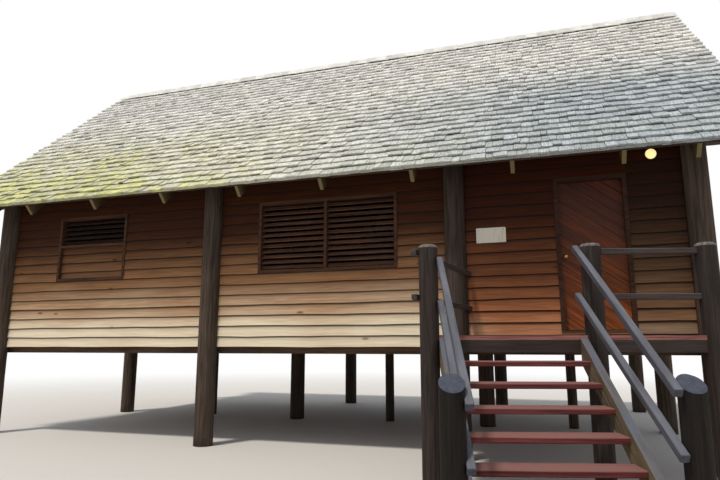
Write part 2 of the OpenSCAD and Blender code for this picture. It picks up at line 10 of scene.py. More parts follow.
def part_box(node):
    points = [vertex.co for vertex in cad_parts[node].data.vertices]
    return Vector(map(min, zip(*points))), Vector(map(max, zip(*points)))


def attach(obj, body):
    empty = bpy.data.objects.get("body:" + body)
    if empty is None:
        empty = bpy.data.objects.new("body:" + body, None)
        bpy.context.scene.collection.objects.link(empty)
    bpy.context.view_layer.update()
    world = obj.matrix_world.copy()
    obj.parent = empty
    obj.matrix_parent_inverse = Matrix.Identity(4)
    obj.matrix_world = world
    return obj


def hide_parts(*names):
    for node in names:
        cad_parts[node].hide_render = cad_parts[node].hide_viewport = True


bl_info = {
    "name": "Stilt House",
    "version": (1, 0, 0),
    "blender": (4, 5, 0),
    "location": "View3D > Sidebar > Stilt House",
    "description": "Dresses a timber house on poles in weatherboards, shakes and weathered timber",
    "category": "Add Mesh",
}

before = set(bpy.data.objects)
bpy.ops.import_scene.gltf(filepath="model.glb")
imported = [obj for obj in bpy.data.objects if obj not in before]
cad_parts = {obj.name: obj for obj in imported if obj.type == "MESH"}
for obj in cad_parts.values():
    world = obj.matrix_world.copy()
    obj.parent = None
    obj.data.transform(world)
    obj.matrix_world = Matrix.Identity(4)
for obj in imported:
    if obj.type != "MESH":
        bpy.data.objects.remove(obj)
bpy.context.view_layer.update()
HOUSE = "house"
DOOR = "door"

# The frame's own lines, in metres and radians: X along the front, Y into the house, Z up
AXIS_X, AXIS_Y, AXIS_Z = Vector((1, 0, 0)), Vector((0, 1, 0)), Vector((0, 0, 1))
POLE_R = 0.15
POLE_XS = (0.0, 4.22, 8.1, 11.15)
BAYS = tuple(zip(POLE_XS, POLE_XS[1:]))
HOUSE_D = 7.0
HALF_D = HOUSE_D / 2
(_, WALL_FACE, WALL_BASE), (_, _, WALL_TOP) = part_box("front_wall_a")
(VERGE_L, _, _), (VERGE_R, _, _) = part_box("roof_front")
RIGHT_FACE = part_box("right_gable_wall")[1].x
RIDGE_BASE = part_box("ridge_beam")[0].z
PITCH = math.radians(42.7)
ROOF_T = 0.085
EAVE_OUT = 0.67
EAVE_Z = 3.786
SKEW = math.radians(15)
NEWEL_R = 0.105
FOOT_NEWEL_R = 0.095
NEWEL_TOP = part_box("newel_posts")[1].z
DECK_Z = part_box("deck_boards")[1].z
DECK_T = 0.045
DECK_EDGE = 2.865
BEAM_HALF = 0.0375
HEAD_W = 1.69
FOOT_W = 1.59
NEWEL_RUN = 2.03
RISER = 0.188
GOING = 0.31
ALONG_EDGE = Vector((math.cos(SKEW), math.sin(SKEW), 0))
DOWN_STAIR = Vector((math.sin(SKEW), -math.cos(SKEW), 0))
HEAD_LEFT = Vector((POLE_XS[2], -2.01, 0))
HEAD_RIGHT = HEAD_LEFT + HEAD_W * ALONG_EDGE
CORNER = HEAD_LEFT + DECK_EDGE * ALONG_EDGE
FOOT_LEFT = HEAD_LEFT + NEWEL_RUN * DOWN_STAIR
FOOT_RIGHT = HEAD_LEFT + FOOT_W * ALONG_EDGE + NEWEL_RUN * DOWN_STAIR
RAIL = 0.06
RAIL_LEVELS = (0.865, 0.395)
FIT = 0.0003


def linear(code):
    """The linear colour of an sRGB hex code."""
    parts = [int(code[i:i + 2], 16) / 255 for i in (1, 3, 5)]
    return [p / 12.92 if p <= 0.04045 else ((p + 0.055) / 1.055) ** 2.4 for p in parts]


def colour(shade):
    """A socket's colour, from a hex code or a colour property."""
    return (*(linear(shade) if isinstance(shade, str) else shade), 1.0)


def blend(a, b, t):
    """The value that lies t of the way from a to b."""
    return a + (b - a) * t


def ease(low, high, value):
    """A smooth step from 0 at low to 1 at high, which may lie either way round."""
    t = min(1.0, max(0.0, (value - low) / (high - low)))
    return t * t * (3 - 2 * t)


def lifted(p, z):
    """The point at height z over or under p."""
    return Vector((p.x, p.y, z))


def upright(u, v, depth):
    """A point of a board whose outline lies in X and Z."""
    return Vector((u, depth, v))


def flat(u, v, depth):
    """A point of a board whose outline lies in X and Y."""
    return Vector((u, v, depth))


def circle(radius, sides, centre=(0.0, 0.0)):
    """Points round a circle, counter-clockwise."""
    turns = [math.tau * i / sides for i in range(sides)]
    return [(centre[0] + radius * math.cos(t), centre[1] + radius * math.sin(t)) for t in turns]


def put(name, data):
    """Adds an object to the scene."""
    thing = bpy.data.objects.new(name, data)
    bpy.context.scene.collection.objects.link(thing)
    return thing


class Stack:
    """Pieces of one kind gathered into a mesh, with grain, tone, wear and soil kept for the finish."""

    def __init__(self, seed):
        self.random = random.Random(seed)
        self.points, self.faces, self.skins, self.smooth, self.grain = [], [], [], [], []
        self.marks = {"tone": [], "wear": [], "soil": []}

    def add(self, shape, axes, tone=None, wear=0.0, skin=0, smooth=False, soil=None):
        """Adds a shape of points and faces. axes are its long, wide and thick directions, wear is a number or
        a function of the place, and soil has a value for each point."""
        points, faces = shape
        start = len(self.points)
        shift = [self.random.uniform(0, 60) for _ in axes]
        tone = self.random.random() if tone is None else tone
        self.points.extend(points)
        for p in points:
            self.grain.extend(p.dot(axis) + s for axis, s in zip(axes, shift))
        self.marks["tone"].extend([tone] * len(points))
        self.marks["wear"].extend(wear(p) if callable(wear) else wear for p in points)
        self.marks["soil"].extend(soil or [0.0] * len(points))
        self.faces.extend([start + i for i in face] for face in faces)
        self.skins.extend([skin] * len(faces))
        self.smooth.extend([smooth] * len(faces))

    def make(self, name, finishes, replaces=(), body=HOUSE):
        """Turns the stack into one object that rides on a body of the frame."""
        mesh = bpy.data.meshes.new(name)
        mesh.from_pydata(self.points, [], self.faces)
        mesh.attributes.new("grain", "FLOAT_VECTOR", "POINT").data.foreach_set("vector", self.grain)
        for label, values in self.marks.items():
            mesh.attributes.new(label, "FLOAT", "POINT").data.foreach_set("value", values)
        for finish in finishes:
            mesh.materials.append(finish)
        mesh.polygons.foreach_set("material_index", self.skins)
        mesh.polygons.foreach_set("use_smooth", self.smooth)
        solid = bmesh.new()
        solid.from_mesh(mesh)
        bmesh.ops.recalc_face_normals(solid, faces=solid.faces)
        solid.to_mesh(mesh)
        solid.free()
        piece = put(name, mesh)
        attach(piece, body)
        if replaces:
            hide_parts(*replaces)


def loft(rings):
    """Skins a row of like rings, with a flat cap at each end."""
    n = len(rings[0])
    faces = []
    for r in range(len(rings) - 1):
        for i in range(n):
            j = (i + 1) % n
            faces.append((r * n + i, r * n + j, (r + 1) * n + j, (r + 1) * n + i))
    last = (len(rings) - 1) * n
    faces.append(tuple(reversed(range(n))))
    faces.append(tuple(range(last, last + n)))
    return [p for ring in rings for p in ring], faces


def slab(outline, near, far, place, easing=0.0):
    """A flat board of that outline, from depth near to depth far, its far edges eased."""
    edge = [Vector(p) for p in outline]
    levels = [(edge, near), (edge, far)]
    if easing:
        shoulder = 0.85
        centre = sum(edge, Vector((0, 0))) / len(edge)
        inset = [p + (centre - p).normalized() * easing for p in edge]
        levels = [(edge, near), (edge, blend(near, far, shoulder)), (inset, far)]
    return loft([[place(p.x, p.y, depth) for p in ring] for ring, depth in levels])


def clip(outline, point, outward):
    """The part of a flat convex outline that lies behind a line."""
    kept = []
    for a, b in zip(outline, outline[1:] + outline[:1]):
        side_a, side_b = ((p[0] - point[0]) * outward[0] + (p[1] - point[1]) * outward[1] for p in (a, b))
        if side_a <= 0:
            kept.append(a)
        if side_a * side_b < 0:
            t = side_a / (side_a - side_b)
            kept.append((blend(a[0], b[0], t), blend(a[1], b[1], t)))
    return kept


def within(outline, region):
    """The part of an outline inside a convex region whose corners run counter-clockwise."""
    for a, b in zip(region, region[1:] + region[:1]):
        if outline:
            outline = clip(outline, a, (b[1] - a[1], a[0] - b[0]))
    return outline


def bar(stack, start, end, width, depth, chamfer=0.004, wander=0.0, step=0.25):
    """A sawn bar from start to end: width is level, depth is square to it, and its arrises are eased. Its
    middle strays by up to wander, as sawn timber does."""
    long = (end - start).normalized()
    level = Vector((-long.y, long.x, 0))
    wide = level.normalized() if level.length > 0.001 else AXIS_Y
    thick = long.cross(wide)
    length = (end - start).length
    stops = max(1, round((length - 2 * chamfer) / step))
    places = [0.0] + [chamfer + (length - 2 * chamfer) * i / stops for i in range(stops + 1)] + [length]
    seed = stack.random.uniform(0, 90)
    waves = 0.9
    rings = []
    for k, s in enumerate(places):
        shrink = chamfer * 0.8 if k in (0, len(places) - 1) else 0.0
        w, d = width / 2 - shrink, depth / 2 - shrink
        sway, dip = (wander * noise.noise((s * waves, seed, row)) for row in (0, 5))
        outline = ((w, d - chamfer), (w - chamfer, d), (chamfer - w, d), (-w, d - chamfer),
                   (-w, chamfer - d), (chamfer - w, -d), (w - chamfer, -d), (w, chamfer - d))
        rings.append([start + long * s + wide * (u + sway) + thick * (v + dip) for u, v in outline])
    stack.add(loft(rings), (long, wide, thick))


def log(stack, foot, radius, top, cap, sides=40, step=0.14, flutes=0.0022, checks=3, skins=(0, 1)):
    """A debarked pole with shallow flutes and drying checks. top gives its height over a point, cap the drops
    and scales of the rings that close it, and skins the finishes of its side and its end."""
    chance = stack.random
    seed = chance.uniform(0, 90)
    splits = [(chance.uniform(0, math.tau), chance.uniform(0.0, 0.5), chance.uniform(0.6, 1.1))
              for _ in range(checks)]
    check_depth, check_half_width = 0.011, 0.11
    height = top(0, 0)
    levels = max(2, round(height / step))
    turns = [math.tau * i / sides for i in range(sides)]

    def skin(turn, z):
        ridge = noise.noise((2.2 * math.cos(turn), 2.2 * math.sin(turn), 0.5 * z + seed))
        swell = noise.noise((0.4 * z, seed, 3.0))
        r = radius - 1.6 * flutes + flutes * (ridge + 0.6 * swell)
        along = z / height
        for where, low, high in splits:
            centre = where + 0.25 * noise.noise((z * 1.3, where, seed))
            off = abs((turn - centre + math.pi) % math.tau - math.pi)
            reach = ease(low, low + 0.12, along) * (1 - ease(high - 0.1, high, along))
            r -= check_depth * reach * max(0.0, 1 - off / check_half_width)
        return r

    def ring(z, scale, level):
        points = []
        for turn in turns:
            r = skin(turn, z) * scale
            x, y = r * math.cos(turn), r * math.sin(turn)
            points.append(foot + Vector((x, y, level(x, y))))
        return points

    rings = [ring(height * k / levels, 1.0, lambda x, y: (top(x, y) - cap[0][0]) * k / levels)
             for k in range(levels + 1)]
    axes = (AXIS_Z, AXIS_X, AXIS_Y)
    tone = chance.random()
    points, faces = loft(rings)
    stack.add((points, faces[:-1]), axes, tone=tone, skin=skins[0], smooth=True)
    rings = rings[-1:] + [
        ring(height, scale, lambda x, y: top(x, y) - drop + 0.0012 * noise.noise((x * 60, y * 60, seed)))
        for drop, scale in cap[1:]]
    points, faces = loft(rings)
    stack.add((points, faces[:-2] + faces[-1:]), axes, tone=tone, wear=1.0, skin=skins[1], smooth=True)


# Nodes by short name: type, the inputs that plain values go to in order, the output that is read, settings.
# A capitalised setting is an input of that name, with _ for a space
NODES = {
    "shader": ("ShaderNodeBsdfPrincipled", (), "BSDF", {}),
    "material output": ("ShaderNodeOutputMaterial", ("Surface",), None, {}),
    "world output": ("ShaderNodeOutputWorld", ("Surface",), None, {}),
    "background": ("ShaderNodeBackground", ("Color", "Strength"), 0, {}),
    "emission": ("ShaderNodeEmission", ("Color", "Strength"), 0, {}),
    "mix shader": ("ShaderNodeMixShader", (0, 1, 2), 0, {}),
    "place": ("ShaderNodeTexCoord", (), "Object", {}),
    "normal": ("ShaderNodeNewGeometry", (), "Normal", {}),
    "mapping": ("ShaderNodeMapping", ("Vector",), 0, {}),
    "grain": ("ShaderNodeAttribute", (), "Vector", {"attribute_name": "grain"}),
    "tone": ("ShaderNodeAttribute", (), "Fac", {"attribute_name": "tone"}),
    "wear": ("ShaderNodeAttribute", (), "Fac", {"attribute_name": "wear"}),
    "soil": ("ShaderNodeAttribute", (), "Fac", {"attribute_name": "soil"}),
    "noise": ("ShaderNodeTexNoise", ("Vector",), "Fac", {"Scale": 1.0}),
    "cells": ("ShaderNodeTexVoronoi", ("Vector",), "Distance", {"Scale": 1.0}),
    "mix": ("ShaderNodeMix", (0, 6, 7), 2, {"data_type": "RGBA"}),
    "tint": ("ShaderNodeMix", (0, 6, 7), 2, {"data_type": "RGBA", "blend_type": "MULTIPLY"}),
    "soft light": ("ShaderNodeMix", (0, 6, 7), 2, {"data_type": "RGBA", "blend_type": "SOFT_LIGHT"}),
    "spread": ("ShaderNodeMapRange", (0, 1, 2, 3, 4), 0, {"interpolation_type": "SMOOTHSTEP"}),
    "ramp": ("ShaderNodeValToRGB", ("Fac",), "Color", {}),
    "value": ("ShaderNodeHueSaturation", ("Color", "Value"), 0, {}),
    "bump": ("ShaderNodeBump", ("Height", "Strength", "Distance"), 0, {}),
    "dot": ("ShaderNodeVectorMath", (0, 1), "Value", {"operation": "DOT_PRODUCT"}),
    "length": ("ShaderNodeVectorMath", (0,), "Value", {"operation": "LENGTH"}),
    **{kind: ("ShaderNodeMath", (0, 1), 0, {"operation": kind.upper()})
       for kind in ("add", "subtract", "multiply", "maximum")},
    **{axis: ("ShaderNodeSeparateXYZ", (0,), axis, {}) for axis in ("X", "Y", "Z")},
    **{ray: ("ShaderNodeLightPath", (), ray, {})
       for ray in ("Is Camera Ray", "Is Glossy Ray", "Is Transmission Ray")},
}


def add(tree, kind, *inputs, **settings):
    """Adds a node by its short name, with its settings and links, and gives the output that is read."""
    type_name, order, output, usual = NODES[kind]
    node = tree.nodes.new(type_name)
    given = dict(zip(order, inputs))
    for key, value in {**usual, **settings}.items():
        if key[0].isupper():
            given[key.replace("_", " ")] = value
        else:
            setattr(node, key, value)
    for key, value in given.items():
        if isinstance(value, bpy.types.NodeSocket):
            tree.links.new(value, node.inputs[key])
        else:
            node.inputs[key].default_value = value
    return node if output is None else node.outputs[output]


def new_material(name, **sockets):
    """A material with a Principled shader whose plain sockets are set by name."""
    material = bpy.data.materials.new(name)
    material.use_nodes = True
    material.node_tree.nodes.clear()
    shader = add(material.node_tree, "shader", **sockets)
    add(material.node_tree, "material output", shader)
    return material, material.node_tree, shader.node


def link(tree, shader, **sockets):
    """Links sockets to the shader's inputs of those names."""
    for key, socket in sockets.items():
        tree.links.new(socket, shader.inputs[key.replace("_", " ")])


def cell(along_mm, across_mm):
    """The scale of a pattern whose features are that long and that wide."""
    return 1000 / along_mm, 1000 / across_mm, 1000 / across_mm


# Turns about Z and then about Y that bring a timber's length to X
GRAIN_TURNS = {"x": (0, 0), "y": (-math.pi / 2, 0), "skew": (-SKEW, 0),
               "stair": (math.pi / 2 - SKEW, -math.atan2(RISER, GOING))}


def along_axis(tree, axis):
    """Grain coordinates for a piece of the frame whose timbers run along one axis."""
    turn, tip = GRAIN_TURNS[axis]
    turned = add(tree, "mapping", add(tree, "place"), Rotation=(0, 0, turn))
    return add(tree, "mapping", turned, Rotation=(0, tip, 0))


def timber(name, axis, dark, light, grey, greying, top_greying=0.25, rough=0.72, streak_mm=34,
           tone_swing=0.3, gloss=0.2):
    """Shared build of every sawn timber: streaks, growth rings, fibres and a grey weathered skin. Its open
    fibres scatter light, so the gloss is well under that of a smooth surface."""
    material, tree, shader = new_material(name, IOR=1.45, Specular_IOR_Level=gloss)
    coords = add(tree, "grain") if axis == "board" else along_axis(tree, axis)
    # Growth rings are 2 to 4 mm apart and fibres under 0.5 mm wide. They are drawn 9 mm and 2.5 mm wide, so
    # that they show. Streaks of colour and patches of weather have their real size
    patterns = ((streak_mm * 22, streak_mm, 3.0, 0.4), (260, 9, 3.0, 0.2), (60, 2.5, 2.0, 0.0),
                (700, 160, 4.0, 0.0))
    streaks, rings, fibres, patches = (
        add(tree, "noise", add(tree, "mapping", coords, Scale=cell(long_mm, wide_mm)),
            Detail=detail, Distortion=distortion)
        for long_mm, wide_mm, detail, distortion in patterns)
    figure = add(tree, "spread", add(tree, "mix", 0.38, streaks, rings), 0.36, 0.64)
    skin = add(tree, "mix", figure, colour(dark), colour(light))
    if axis == "board":
        shade = add(tree, "spread", add(tree, "tone"), 0.0, 1.0, 1 - tone_swing, 1 + tone_swing * 0.7)
        skin = add(tree, "value", skin, shade)
    upward = add(tree, "Z", add(tree, "normal"))
    facing = add(tree, "spread", upward, 0.2, 0.9, greying, greying + top_greying)
    worn = add(tree, "spread", patches, 0.3, 0.7, 0.5, 1.15)
    amount = add(tree, "multiply", facing, worn, use_clamp=True)
    dark_ash = add(tree, "mix", 0.45, colour(grey), colour(dark))
    ash = add(tree, "mix", fibres, colour(grey), dark_ash)
    skin = add(tree, "mix", amount, skin, ash)
    relief = add(tree, "mix", 0.5, figure, fibres)
    link(tree, shader, Base_Color=skin,
         Roughness=add(tree, "spread", fibres, 0.2, 0.8, rough - 0.12, rough + 0.14),
         Normal=add(tree, "bump", relief, 0.5, 0.0016))
    return material, tree, shader, skin


def metres(name, description, default):
    """A length that a user can change."""
    return FloatProperty(name=name, description=description, default=default, unit="LENGTH")


def paint(name, description, code):
    """A colour that a user can change, from its hex code."""
    return FloatVectorProperty(name=name, description=description, default=linear(code), subtype="COLOR")


class HouseCladding(bpy.types.PropertyGroup):
    """Sizes and colours of the weatherboards."""

    exposure: metres("Board exposure", "Height of a board that shows", 0.16)
    lap: metres("Lap", "Height of a board that the next one covers", 0.025)
    butt: metres("Butt", "How far the lower edge stands off the wall", 0.026)
    # Sheltered, open air and bleached colour the boards by height, partly as weathering and partly as painted
    # light: painted shade of the eaves at the top and painted sunlight on the lowest boards
    sheltered: paint("Sheltered", "Oiled cedar under the eaves", "#3f200c")
    open_air: paint("Open air", "Cedar half way down the wall", "#a37a56")
    bleached: paint("Bleached", "Cedar at the foot of the wall", "#e3d5bc")
    entry: paint("Entry tint", "Redder oil left of the door, over the rest", "#f3d7cb")
    # The corner tint darkens the boards right of the door, partly as dirt and partly as painted shade
    corner: paint("Corner tint", "Grime right of the door, over the rest", "#bdc4cb")


class HouseRoof(bpy.types.PropertyGroup):
    """Sizes and colours of the shake roof."""

    exposure: metres("Course exposure", "Length of a shake that shows", 0.19)
    length: metres("Shake length", "Whole length of a shake", 0.38)
    narrowest: metres("Narrowest shake", "Least width of a shake", 0.08)
    widest: metres("Widest shake", "Greatest width of a shake", 0.2)
    butt: metres("Butt", "Thickness of a shake at its lower end", 0.028)
    silver: paint("Silver", "Face of a shake bleached by the sun", "#e9e7dd")
    # Slate is painted shade: the faces turn cooler and greyer towards the right end, which lies in shade
    slate: paint("Slate", "Face of a shake at the shaded right end", "#b9c1c6")
    moss: paint("Moss", "Moss and algae on damp shakes", "#dedba0")


class HousePoles(bpy.types.PropertyGroup):
    """Facets and stains of the round poles and newels."""

    facets: IntProperty(name="Facets", description="Sides of a pole's outline", default=40)
    brown: paint("Pole stain", "Lighter streaks of the house's poles", "#52443a")
    charcoal: paint("Newel stain", "Lighter streaks of the deck's newels", "#3a302b")
    # The foot newel stain is a darker copy of the newel stain: painted shade
    black: paint("Foot newel stain", "Lighter streaks of the newels at the foot of the stair", "#221c19")


class HouseDeck(bpy.types.PropertyGroup):
    """Sizes and colours of the deck and stair."""

    board: metres("Deck board", "Width of a deck board", 0.14)
    gap: metres("Gap", "Space between deck boards", 0.006)
    stain: paint("Deck stain", "Lighter streaks of the deck boards", "#a06c61")
    tread: paint("Tread stain", "Lighter streaks of the treads", "#743530")
    worn: paint("Worn stain", "Stain on top faces that feet have worn", "#8c665f")


class HouseDoor(bpy.types.PropertyGroup):
    """Sizes and colours of the boarded door."""

    board: metres("Door board", "Width of a diagonal board", 0.125)
    slope: FloatProperty(name="Slope", description="Fall of the boards towards the hinges",
                         default=math.radians(36), subtype="ANGLE")
    oil: paint("Oil", "Lighter streaks of the oiled cedar", "#9a5019")


class HouseLook(bpy.types.PropertyGroup):
    """Light and surroundings."""

    sun: FloatProperty(name="Key light", description="Strength of the key light", default=2.4)
    fill: FloatProperty(name="Fill light", description="Strength of the light from all round", default=0.62)


def cedar_cladding(sizes, name, tint="#ffffff"):
    """Western cedar weatherboards, sawn and oiled: red-brown where sheltered, honey to straw where bleached,
    with a few knots and a dark line under each lap. The change with height is partly weathering and partly
    painted light: painted shade of the eaves at the top and painted sunlight on the lowest boards. The lap
    lines are partly dirt and partly painted shade."""
    material, tree, shader, skin = timber(name, "board", "#6b5342", "#dccdbb", "#b7a78f", 0.0, 0.0,
                                          streak_mm=26, tone_swing=0.2)
    # By height the boards run from sheltered to bleached: partly weathering, partly painted shade of the
    # eaves at the top and painted sunlight on the lowest boards
    ramp = add(tree, "ramp", add(tree, "wear"))
    stops = ramp.node.color_ramp.elements
    stops[0].color, stops[1].color = colour(sizes.sheltered), colour(sizes.bleached)
    stops.new(0.5).color = colour(sizes.open_air)
    stained = add(tree, "soft light", 0.42, ramp, skin)
    stained = add(tree, "tint", 1.0, stained, colour(tint))
    # Knots are 20 to 50 mm wide, one to each 800 by 260 mm of wall, and drawn out along the board
    knots = add(tree, "cells", add(tree, "mapping", add(tree, "grain"), Scale=cell(800, 260)))
    knot = add(tree, "tint", 1.0, stained, colour("#8a5f45"))
    stained = add(tree, "mix", add(tree, "spread", knots, 0.035, 0.1, 0.75, 0.0), stained, knot)
    # Darkens the lap lines and the butts' undersides: partly dirt and partly painted shade
    grime_and_shade = add(tree, "multiply", add(tree, "soil"), 0.82)
    link(tree, shader, Base_Color=add(tree, "mix", grime_and_shade, stained, colour("#1d130d")))
    return material


def pole_timber(name, dark, light, grey):
    """Treated hardwood pole, debarked and stained near black: dull charcoal brown, greyer where rain runs."""
    return timber(name, "board", dark, light, grey, 0.14, 0.3, rough=0.8, streak_mm=30)[0]


def end_grain(name, centre, rim):
    """Sawn end of a weathered pole: dull grey grain with a mottle 36 mm wide, pitted with fine checks."""
    material, tree, shader = new_material(name, Roughness=0.82, IOR=1.45)
    across = add(tree, "mapping", add(tree, "grain"), Scale=(0.0, 1.0, 1.0))
    mottle = add(tree, "noise", across, Scale=28.0, Detail=5.0)
    pits = add(tree, "noise", across, Scale=160.0, Detail=3.0)
    skin = add(tree, "mix", add(tree, "spread", mottle, 0.3, 0.7), colour(centre), colour(rim))
    skin = add(tree, "mix", add(tree, "spread", pits, 0.62, 0.74, 0.0, 0.4), skin, colour("#2d2a2c"))
    link(tree, shader, Base_Color=skin, Normal=add(tree, "bump", pits, 0.4, 0.002))
    return material


def split_shake(sizes):
    """Split cedar shake, weathered for years: pale silver with dark grooves, green-gold moss where damp, and
    a black line at each butt and under the next course, partly rotting wood and dirt and partly painted
    shadow."""
    material, tree, shader = new_material("weathered_split_shake", IOR=1.45, Specular_IOR_Level=0.2)
    coords, place = add(tree, "grain"), add(tree, "place")
    # Split grooves are 4 to 6 mm apart and are drawn 13 mm apart, so that they show
    grooves = add(tree, "noise", add(tree, "mapping", coords, Scale=cell(320, 13)), Detail=4.0)
    stains = add(tree, "noise", add(tree, "mapping", coords, Scale=cell(190, 110)), Detail=3.0)
    # Moss grows in clumps about 280 mm wide, which break up into tufts
    clumps = add(tree, "noise", place, Scale=3.6, Detail=7.0, Roughness=0.72)
    # Towards the right end the faces turn from silver to slate: painted shade
    face = add(tree, "mix", add(tree, "spread", add(tree, "X", place), 4.5, 10.5),
               colour(sizes.silver), colour(sizes.slate))
    # Towards the ridge the faces turn nearly white: a painted highlight
    face = add(tree, "mix", add(tree, "spread", add(tree, "Z", place), 4.9, 6.6), face, colour("#eeece7"))
    grooved = add(tree, "tint", 1.0, face, colour("#cdcac2"))
    skin = add(tree, "mix", add(tree, "spread", grooves, 0.36, 0.56), grooved, face)
    skin = add(tree, "mix", add(tree, "spread", stains, 0.5, 0.75, 0.0, 0.3), skin, colour("#b3aa95"))
    skin = add(tree, "value", skin, add(tree, "spread", add(tree, "tone"), 0.0, 1.0, 0.8, 1.05))
    growth = add(tree, "add", clumps, add(tree, "wear"))
    film = add(tree, "tint", 1.0, skin, colour("#f6f7e2"))
    skin = add(tree, "mix", add(tree, "spread", growth, 0.5, 0.95, 0.0, 0.8), skin, film)
    moss = add(tree, "mix", add(tree, "spread", clumps, 0.4, 0.62), colour("#93964f"), colour(sizes.moss))
    skin = add(tree, "mix", add(tree, "spread", growth, 0.82, 1.08), skin, moss)
    # The dark line at each butt and under the next course is partly dirt and partly painted shadow
    rot_and_shadow = add(tree, "multiply", add(tree, "soil"), 0.9)
    link(tree, shader, Base_Color=add(tree, "mix", rot_and_shadow, skin, colour("#2b2619")),
         Roughness=add(tree, "spread", grooves, 0.3, 0.7, 0.95, 0.75),
         Normal=add(tree, "bump", grooves, 0.7, 0.005))
    return material


def stained_decking(name, dark, light, worn):
    """Hardwood decking with a red-brown stain: deep red on edges, chalky pink where feet wear the top."""
    material, tree, shader, skin = timber(name, "board", dark, light, "#85777a", 0.06, 0.0,
                                          rough=0.62, streak_mm=26, tone_swing=0.14)
    top = add(tree, "spread", add(tree, "Z", add(tree, "normal")), 0.4, 0.95, 0.0, 0.75)
    link(tree, shader, Base_Color=add(tree, "mix", top, skin, colour(worn)))
    return material


def planed_rail(name, dark, light, grey, greying):
    """Planed hardwood rail with the stain worn off its top: dull brown to violet sides, silver-grey top."""
    return timber(name, "board", dark, light, grey, greying, 0.45, rough=0.66, streak_mm=22,
                  tone_swing=0.12)[0]


def oiled_door(sizes):
    """Oiled cedar door boards, sheltered from rain: glowing orange brown with dark streaks, and a duller,
    darker red brown towards the top, under the eaves."""
    material, tree, shader, skin = timber("oiled_cedar_door", "board", "#622c10", sizes.oil, "#7d5f43",
                                          0.04, 0.0, rough=0.5, streak_mm=30, gloss=0.3)
    dull = add(tree, "tint", 1.0, skin, colour("#8f7a74"))
    link(tree, shader, Base_Color=add(tree, "mix", add(tree, "wear"), skin, dull))
    return material


def sawn_hardwood(name, axis, dark="#33231a", light="#5e4331", grey="#7d7468"):
    """Rough sawn hardwood framing, unpainted: dull brown with saw-roughened fibres."""
    return timber(name, axis, dark, light, grey, 0.2, 0.2, rough=0.8)[0]


def rafter_timber(name, outward):
    """Sawn rafter under the eaves: smoke-dark sides, which pale to olive tan near the cut face of its tail.
    outward is -1 on the front slope and 1 on the back one."""
    material, tree, shader, skin = timber(name, "y", "#2f2115", "#513a26", "#6a6048", 0.1, 0.1)
    weathered = colour("#776b4a")
    pale_from, pale_to = HALF_D + 0.38, HALF_D + 0.6
    from_ridge = add(tree, "subtract", add(tree, "Y", add(tree, "place")), HALF_D)
    reach = add(tree, "multiply", from_ridge, outward)
    skin = add(tree, "mix", add(tree, "spread", reach, pale_from, pale_to, 0.0, 0.6), skin, weathered)
    cut_face = (0, outward * math.cos(PITCH), -math.sin(PITCH))
    towards = add(tree, "dot", add(tree, "normal"), cut_face)
    skin = add(tree, "mix", add(tree, "spread", towards, 0.85, 0.97, 0.0, 0.75), skin, weathered)
    link(tree, shader, Base_Color=skin)
    return material


def lit_glass():
    """Blown opal glass lit by a warm lamp inside: creamy yellow, softly clouded 33 mm wide."""
    material, tree, shader = new_material("lit_opal_glass", Roughness=0.3, IOR=1.5, Emission_Strength=1.1,
                                          Base_Color=colour("#f6dfae"))
    cloud = add(tree, "noise", add(tree, "place"), Scale=30.0, Detail=2.0)
    link(tree, shader, Emission_Color=add(tree, "mix", cloud, colour("#ffca6a"), colour("#ffe9b0")))
    return material


def metal_finish(name, code, rough, speck_mm, metallic=1.0):
    """Brushed, cast or painted metal, with the fine dull specks that handling and weather leave."""
    material, tree, shader = new_material(name, Metallic=metallic)
    specks = add(tree, "noise", add(tree, "place"), Scale=1000 / speck_mm, Detail=4.0)
    dull = add(tree, "mix", 0.55, colour(code), colour("#3a332c"))
    link(tree, shader, Base_Color=add(tree, "mix", add(tree, "spread", specks, 0.5, 0.75, 0.0, 0.7),
                                      colour(code), dull),
         Roughness=add(tree, "spread", specks, 0.3, 0.7, rough - 0.08, rough + 0.16))
    return material


def sign_enamel():
    """Baked enamel on steel plate: off-white and chalky, with grey runs of rain 22 by 200 mm."""
    material, tree, shader = new_material("baked_off_white_enamel", Roughness=0.42, IOR=1.5)
    runs = add(tree, "noise", add(tree, "mapping", add(tree, "place"), Scale=(45, 45, 5)), Detail=4.0)
    link(tree, shader, Base_Color=add(tree, "mix", add(tree, "spread", runs, 0.5, 0.8, 0.0, 0.6),
                                      colour("#ddd6c4"), colour("#a59a82")))
    return material


def scribed(at, side):
    """Where a board scribed to a pole stops, for a depth in front of the wall face."""
    clear = 0.0005

    def stop(depth, z):
        return at + side * (math.sqrt(POLE_R ** 2 - (WALL_FACE - depth) ** 2) + clear)
    return stop


def steady(at):
    """A straight end, the same at every depth and height."""
    return lambda depth, z: at


def edge_wave(u, z):
    """How far the sawn lower edge of the board at height z strays from a straight line."""
    slow, quick = 0.011, 0.004
    return slow * noise.noise((u * 1.3, z * 7, 2.0)) + quick * noise.noise((u * 5.0, z * 9, 6.0))


